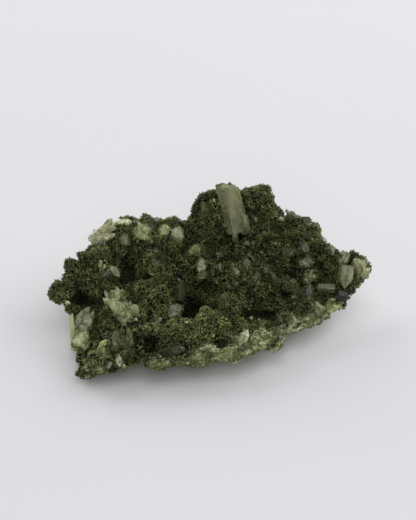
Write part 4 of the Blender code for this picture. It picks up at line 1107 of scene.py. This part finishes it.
def sheaf(skin, foot, tip, spread, width, count, draw):
    """Short prisms side by side along a line from foot to tip, on the skin and leaning towards the tip."""
    along = unit(tip - foot)
    aside = unit(np.cross(along, OUTWARD))
    shapes = []
    for _ in range(count):
        place = foot + draw.uniform(0.05, 0.95) * (tip - foot) + draw.uniform(-0.5, 0.5) * spread * aside
        place = place + (skin_level(skin, place) + SHEAF_LIFT) * OUTWARD
        thick = width * draw.uniform(*SHEAF_WIDTHS)
        lean = unit(along + SHEAF_SCATTER * draw.normal(size=3) + SHEAF_RISE * OUTWARD)
        end = place + lean * thick * draw.uniform(*SHEAF_HEIGHTS)
        start = place - lean * thick * SHEAF_ROOT
        roll = draw.uniform(0, 60)
        point = draw.uniform(*SHEAF_POINTS)
        slant = draw.uniform(-SHEAF_SLANT, SHEAF_SLANT)
        depth = SHEAF_DEPTH * thick
        shapes.append(prism_shape(start, end, thick, depth, roll, point, slant, draw, SHEAF_GRID))
    return shapes


def settled(skin, middle, size):
    """A stone's middle and size in metres, the middle moved along the way out to stand on the skin."""
    middle, size = metres(middle, size)
    return middle + (skin_level(skin, middle) + QUARTZ_ROOM + STONE_LIFT * size[2]) * OUTWARD, size


def quartz_shapes(skin):
    """Each quartz node's name, shapes, lightness (its own paleness with painted light and shade) and finish.
    """
    for number, (node, middle, size, turn, count, light) in enumerate(QUARTZ_STONES):
        draw = np.random.default_rng(STONE_SEED + number)
        yield node, grown_together(*settled(skin, middle, size), turn, count, draw), light, STONE_FINISH
    for number, (node, light, stones) in enumerate(QUARTZ_GROUPS):
        draw = np.random.default_rng(GROUP_SEED + number)
        shapes = [stone_shape(*settled(skin, middle, size), turn, draw) for middle, size, turn in stones]
        yield node, shapes, light, STONE_FINISH
    for number, (node, light, prisms) in enumerate(QUARTZ_PRISMS):
        draw = np.random.default_rng(PRISM_SEED + number)
        shapes = [prism_shape(*metres(*sizes[:4]), *sizes[4:], draw) for sizes in prisms]
        yield node, shapes, light, PRISM_FINISH
    for number, (node, light, *sizes, count) in enumerate(QUARTZ_SHEAVES):
        draw = np.random.default_rng(SHEAF_SEED + number)
        yield node, sheaf(skin, *metres(*sizes), count, draw), light, SHEAF_FINISH


def make_quartz(skin, materials):
    """All quartz crystals, each in place of its node, with the crust's dust noted on their lower parts."""
    slots = {row["node"]: row["material_slot"] for row in frame["record"]["subparts"]}
    strength, spacing, seed = DUST_NOISE
    kept = []
    for node, shapes, light, (smooth, least_dust) in quartz_shapes(skin):
        points, faces = join_shapes(shapes)
        made = add_mesh(node + "_crystal", points, faces, smooth=smooth)
        outward = (points - points.mean(axis=0)) @ OUTWARD / (0.5 * np.ptp(points @ OUTWARD))
        dust = strength * smooth_noise(points, spacing, seed) - DUST_BY_HEIGHT * outward - least_dust
        dust = smooth_step(dust, 0, 1)
        streak = np.concatenate([streaks_of(shape) for shape in shapes])
        set_values(made, {"dust": dust, "light": np.full(len(points), light), "streak": streak})
        finish_piece(made, slots[node], materials[slots[node]], node)
        kept.append((points, faces, dust))
    return kept


def dust_quartz(kept, material):
    """Small green crystals that have grown onto the quartz, most of them round its foot."""
    draw = np.random.default_rng(DUST_SEED)
    strewn = [strew(points, faces, dust[faces].mean(axis=1) ** 2, draw) for points, faces, dust in kept]
    place, normal = (np.concatenate(parts) for parts in list(zip(*strewn))[:2])
    count = len(place)
    direction = unit(normal + NEEDLE_LEAN * unit(draw.normal(size=place.shape)))
    length = draw.uniform(*NEEDLE_LENGTH, count) * DUST_SIZES[0]
    width = draw.uniform(*NEEDLE_WIDTH, count) * DUST_SIZES[1]
    made = add_mesh("crust_on_quartz", *spindles(place, direction, length, width, draw))
    tones = np.clip(draw.normal(*DUST_TONES, count), *DUST_TONE_LIMITS)
    set_values(made, {"tint": shaded_crystal_tints(tones), "painted_shade": np.full(count * SPINDLE_POINTS, DUST_PAINTED_SHADE)})
    finish_piece(made, "epidote_crust", material)


def make_small_quartz(points, quads, materials):
    """Small stones of quartz strewn where the crust is thin, clear ones and milky ones in two pieces."""
    draw = np.random.default_rng(SMALL_QUARTZ_SEED)
    corner, across = face_crosses(points, quads)
    middle = corner.mean(axis=1)
    open_share = np.maximum(across @ OPEN_WAY, 0)
    for part, slot in enumerate(("clear_quartz", "milky_quartz")):
        shapes, lights = [], []
        for x, y, spread, count in SMALL_QUARTZ:
            away = np.square(middle[:, :2] - np.array((x, y)) * MM).sum(axis=1)
            chance = open_share * np.exp(-away / (spread * MM) ** 2)
            chosen = draw.choice(len(quads), count // 2 + part * (count % 2), p=chance / chance.sum())
            for place in middle[chosen]:
                size = mostly_small(SMALL_QUARTZ_SIZE, draw.random())
                shapes.append(chip_shape(place, size, SMALL_QUARTZ_LIFT, draw))
                lights.append(draw.uniform(*SMALL_QUARTZ_LIGHT))
        # Pale chips, the first seven of which are painted highlights standing in for glints
        for place, size, light in PALE_CHIPS_AND_GLINTS[part::2]:
            size = size * PALE_CHIP_GROWTH * MM
            shapes.append(chip_shape(np.array(place) * MM, size, PALE_CHIP_LIFT, draw))
            lights.append(light)
        joined, faces = join_shapes(shapes)
        made = add_mesh("small_" + slot, joined, faces)
        set_values(made, {
            "light": np.repeat(lights, len(shapes[0][0])),
            "streak": 0.5 + 0.5 * smooth_noise(joined, *SMALL_STREAKS),
            "dust": np.clip(0.5 + 0.5 * smooth_noise(joined, *SMALL_DUST), 0, MOST_SMALL_DUST),
        })
        finish_piece(made, slot, materials[slot])


def make_floor():
    """A wide pale disc under the cluster: rings of points round the middle."""
    turn = np.arange(FLOOR_CORNERS) * 2 * np.pi / FLOOR_CORNERS
    ring = np.stack([np.cos(turn), np.sin(turn), np.zeros_like(turn)], axis=1)
    points = np.concatenate([[(0, 0, 0)], *(ring * reach for reach in FLOOR_RINGS)])
    step = np.arange(FLOOR_CORNERS)
    after = (step + 1) % FLOOR_CORNERS
    faces = [np.stack([0 * step, 1 + step, 1 + after], axis=1)]
    for low in 1 + FLOOR_CORNERS * np.arange(len(FLOOR_RINGS) - 1):
        high = low + FLOOR_CORNERS
        faces.append(np.stack([low + step, high + step, high + after], axis=1))
        faces.append(np.stack([low + step, high + after, low + after], axis=1))
    made = add_mesh("floor", points, np.concatenate(faces))
    material, build, shader = new_material("pale floor", {"Roughness": 0.9, "Specular IOR Level": 0.1})
    build.put(shader, {"Base Color": build.mix(build.noise(build.place(), 3.0), *FLOOR_COLOURS)})
    made.data.materials.append(material)
    made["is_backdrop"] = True


def set_light():
    """Wide soft lights, most of them low behind the cluster, and a faint pale surround.

    Each light is a square on a ball round the cluster, turned to its middle, with its azimuth from +Y to +X.
    """
    world = bpy.data.worlds.new("surround")
    world.use_nodes = True
    surround = world.node_tree.nodes["Background"].inputs
    surround["Color"].default_value = SURROUND_COLOUR
    surround["Strength"].default_value = SURROUND_STRENGTH
    bpy.context.scene.world = world
    for name, elevation, azimuth, power in LIGHTS:
        up, around = math.radians(elevation), math.radians(azimuth)
        flat = math.cos(up)
        place = LIGHT_DISTANCE * Vector((flat * math.sin(around), flat * math.cos(around), math.sin(up)))
        lamp = bpy.data.lights.new(name, "AREA")
        lamp.shape = "SQUARE"
        lamp.size = LIGHT_SIZE
        lamp.energy = power
        made = new_object(name, lamp)
        made.location = place
        made.rotation_euler = (-place).to_track_quat("-Z", "Y").to_euler()
    bpy.context.scene.view_settings.view_transform = "Standard"


def set_camera():
    """The camera at the photo's view: back from its target and up by the elevation, with no roll."""
    lens = bpy.data.cameras.new("camera")
    lens.lens = LENS_MM
    lens.clip_start = 0.01
    made = new_object("camera", lens)
    made.location = VIEW_TARGET + Vector(OUTWARD) * VIEW_DISTANCE
    made.rotation_euler = (math.pi / 2 - VIEW_ELEVATION, 0, 0)
    bpy.context.scene.camera = made


def main():
    """The scene: view, light and floor, the crusted rock, its small crystals and grains, and the quartz."""
    set_camera()
    set_light()
    make_floor()
    colours = speckle_group()
    veils = veil_group()
    skin, points, quads, crust, painted_shade, tone = make_skin()
    finish_piece(skin, "epidote_crust", skin_material(colours), "epidote_matrix")
    green = needle_material(colours)
    make_needles(points, quads, crust, painted_shade, tone, green)
    make_grains(points, quads, crust, grain_material(colours))
    quartz = {slot: quartz_material(slot, veils) for slot in QUARTZ_FINISHES}
    dust_quartz(make_quartz(points, quartz), green)
    make_small_quartz(points, quads, quartz)


main()
[[list(corner) for corner in box] for box in (CAD_BOX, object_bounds())]
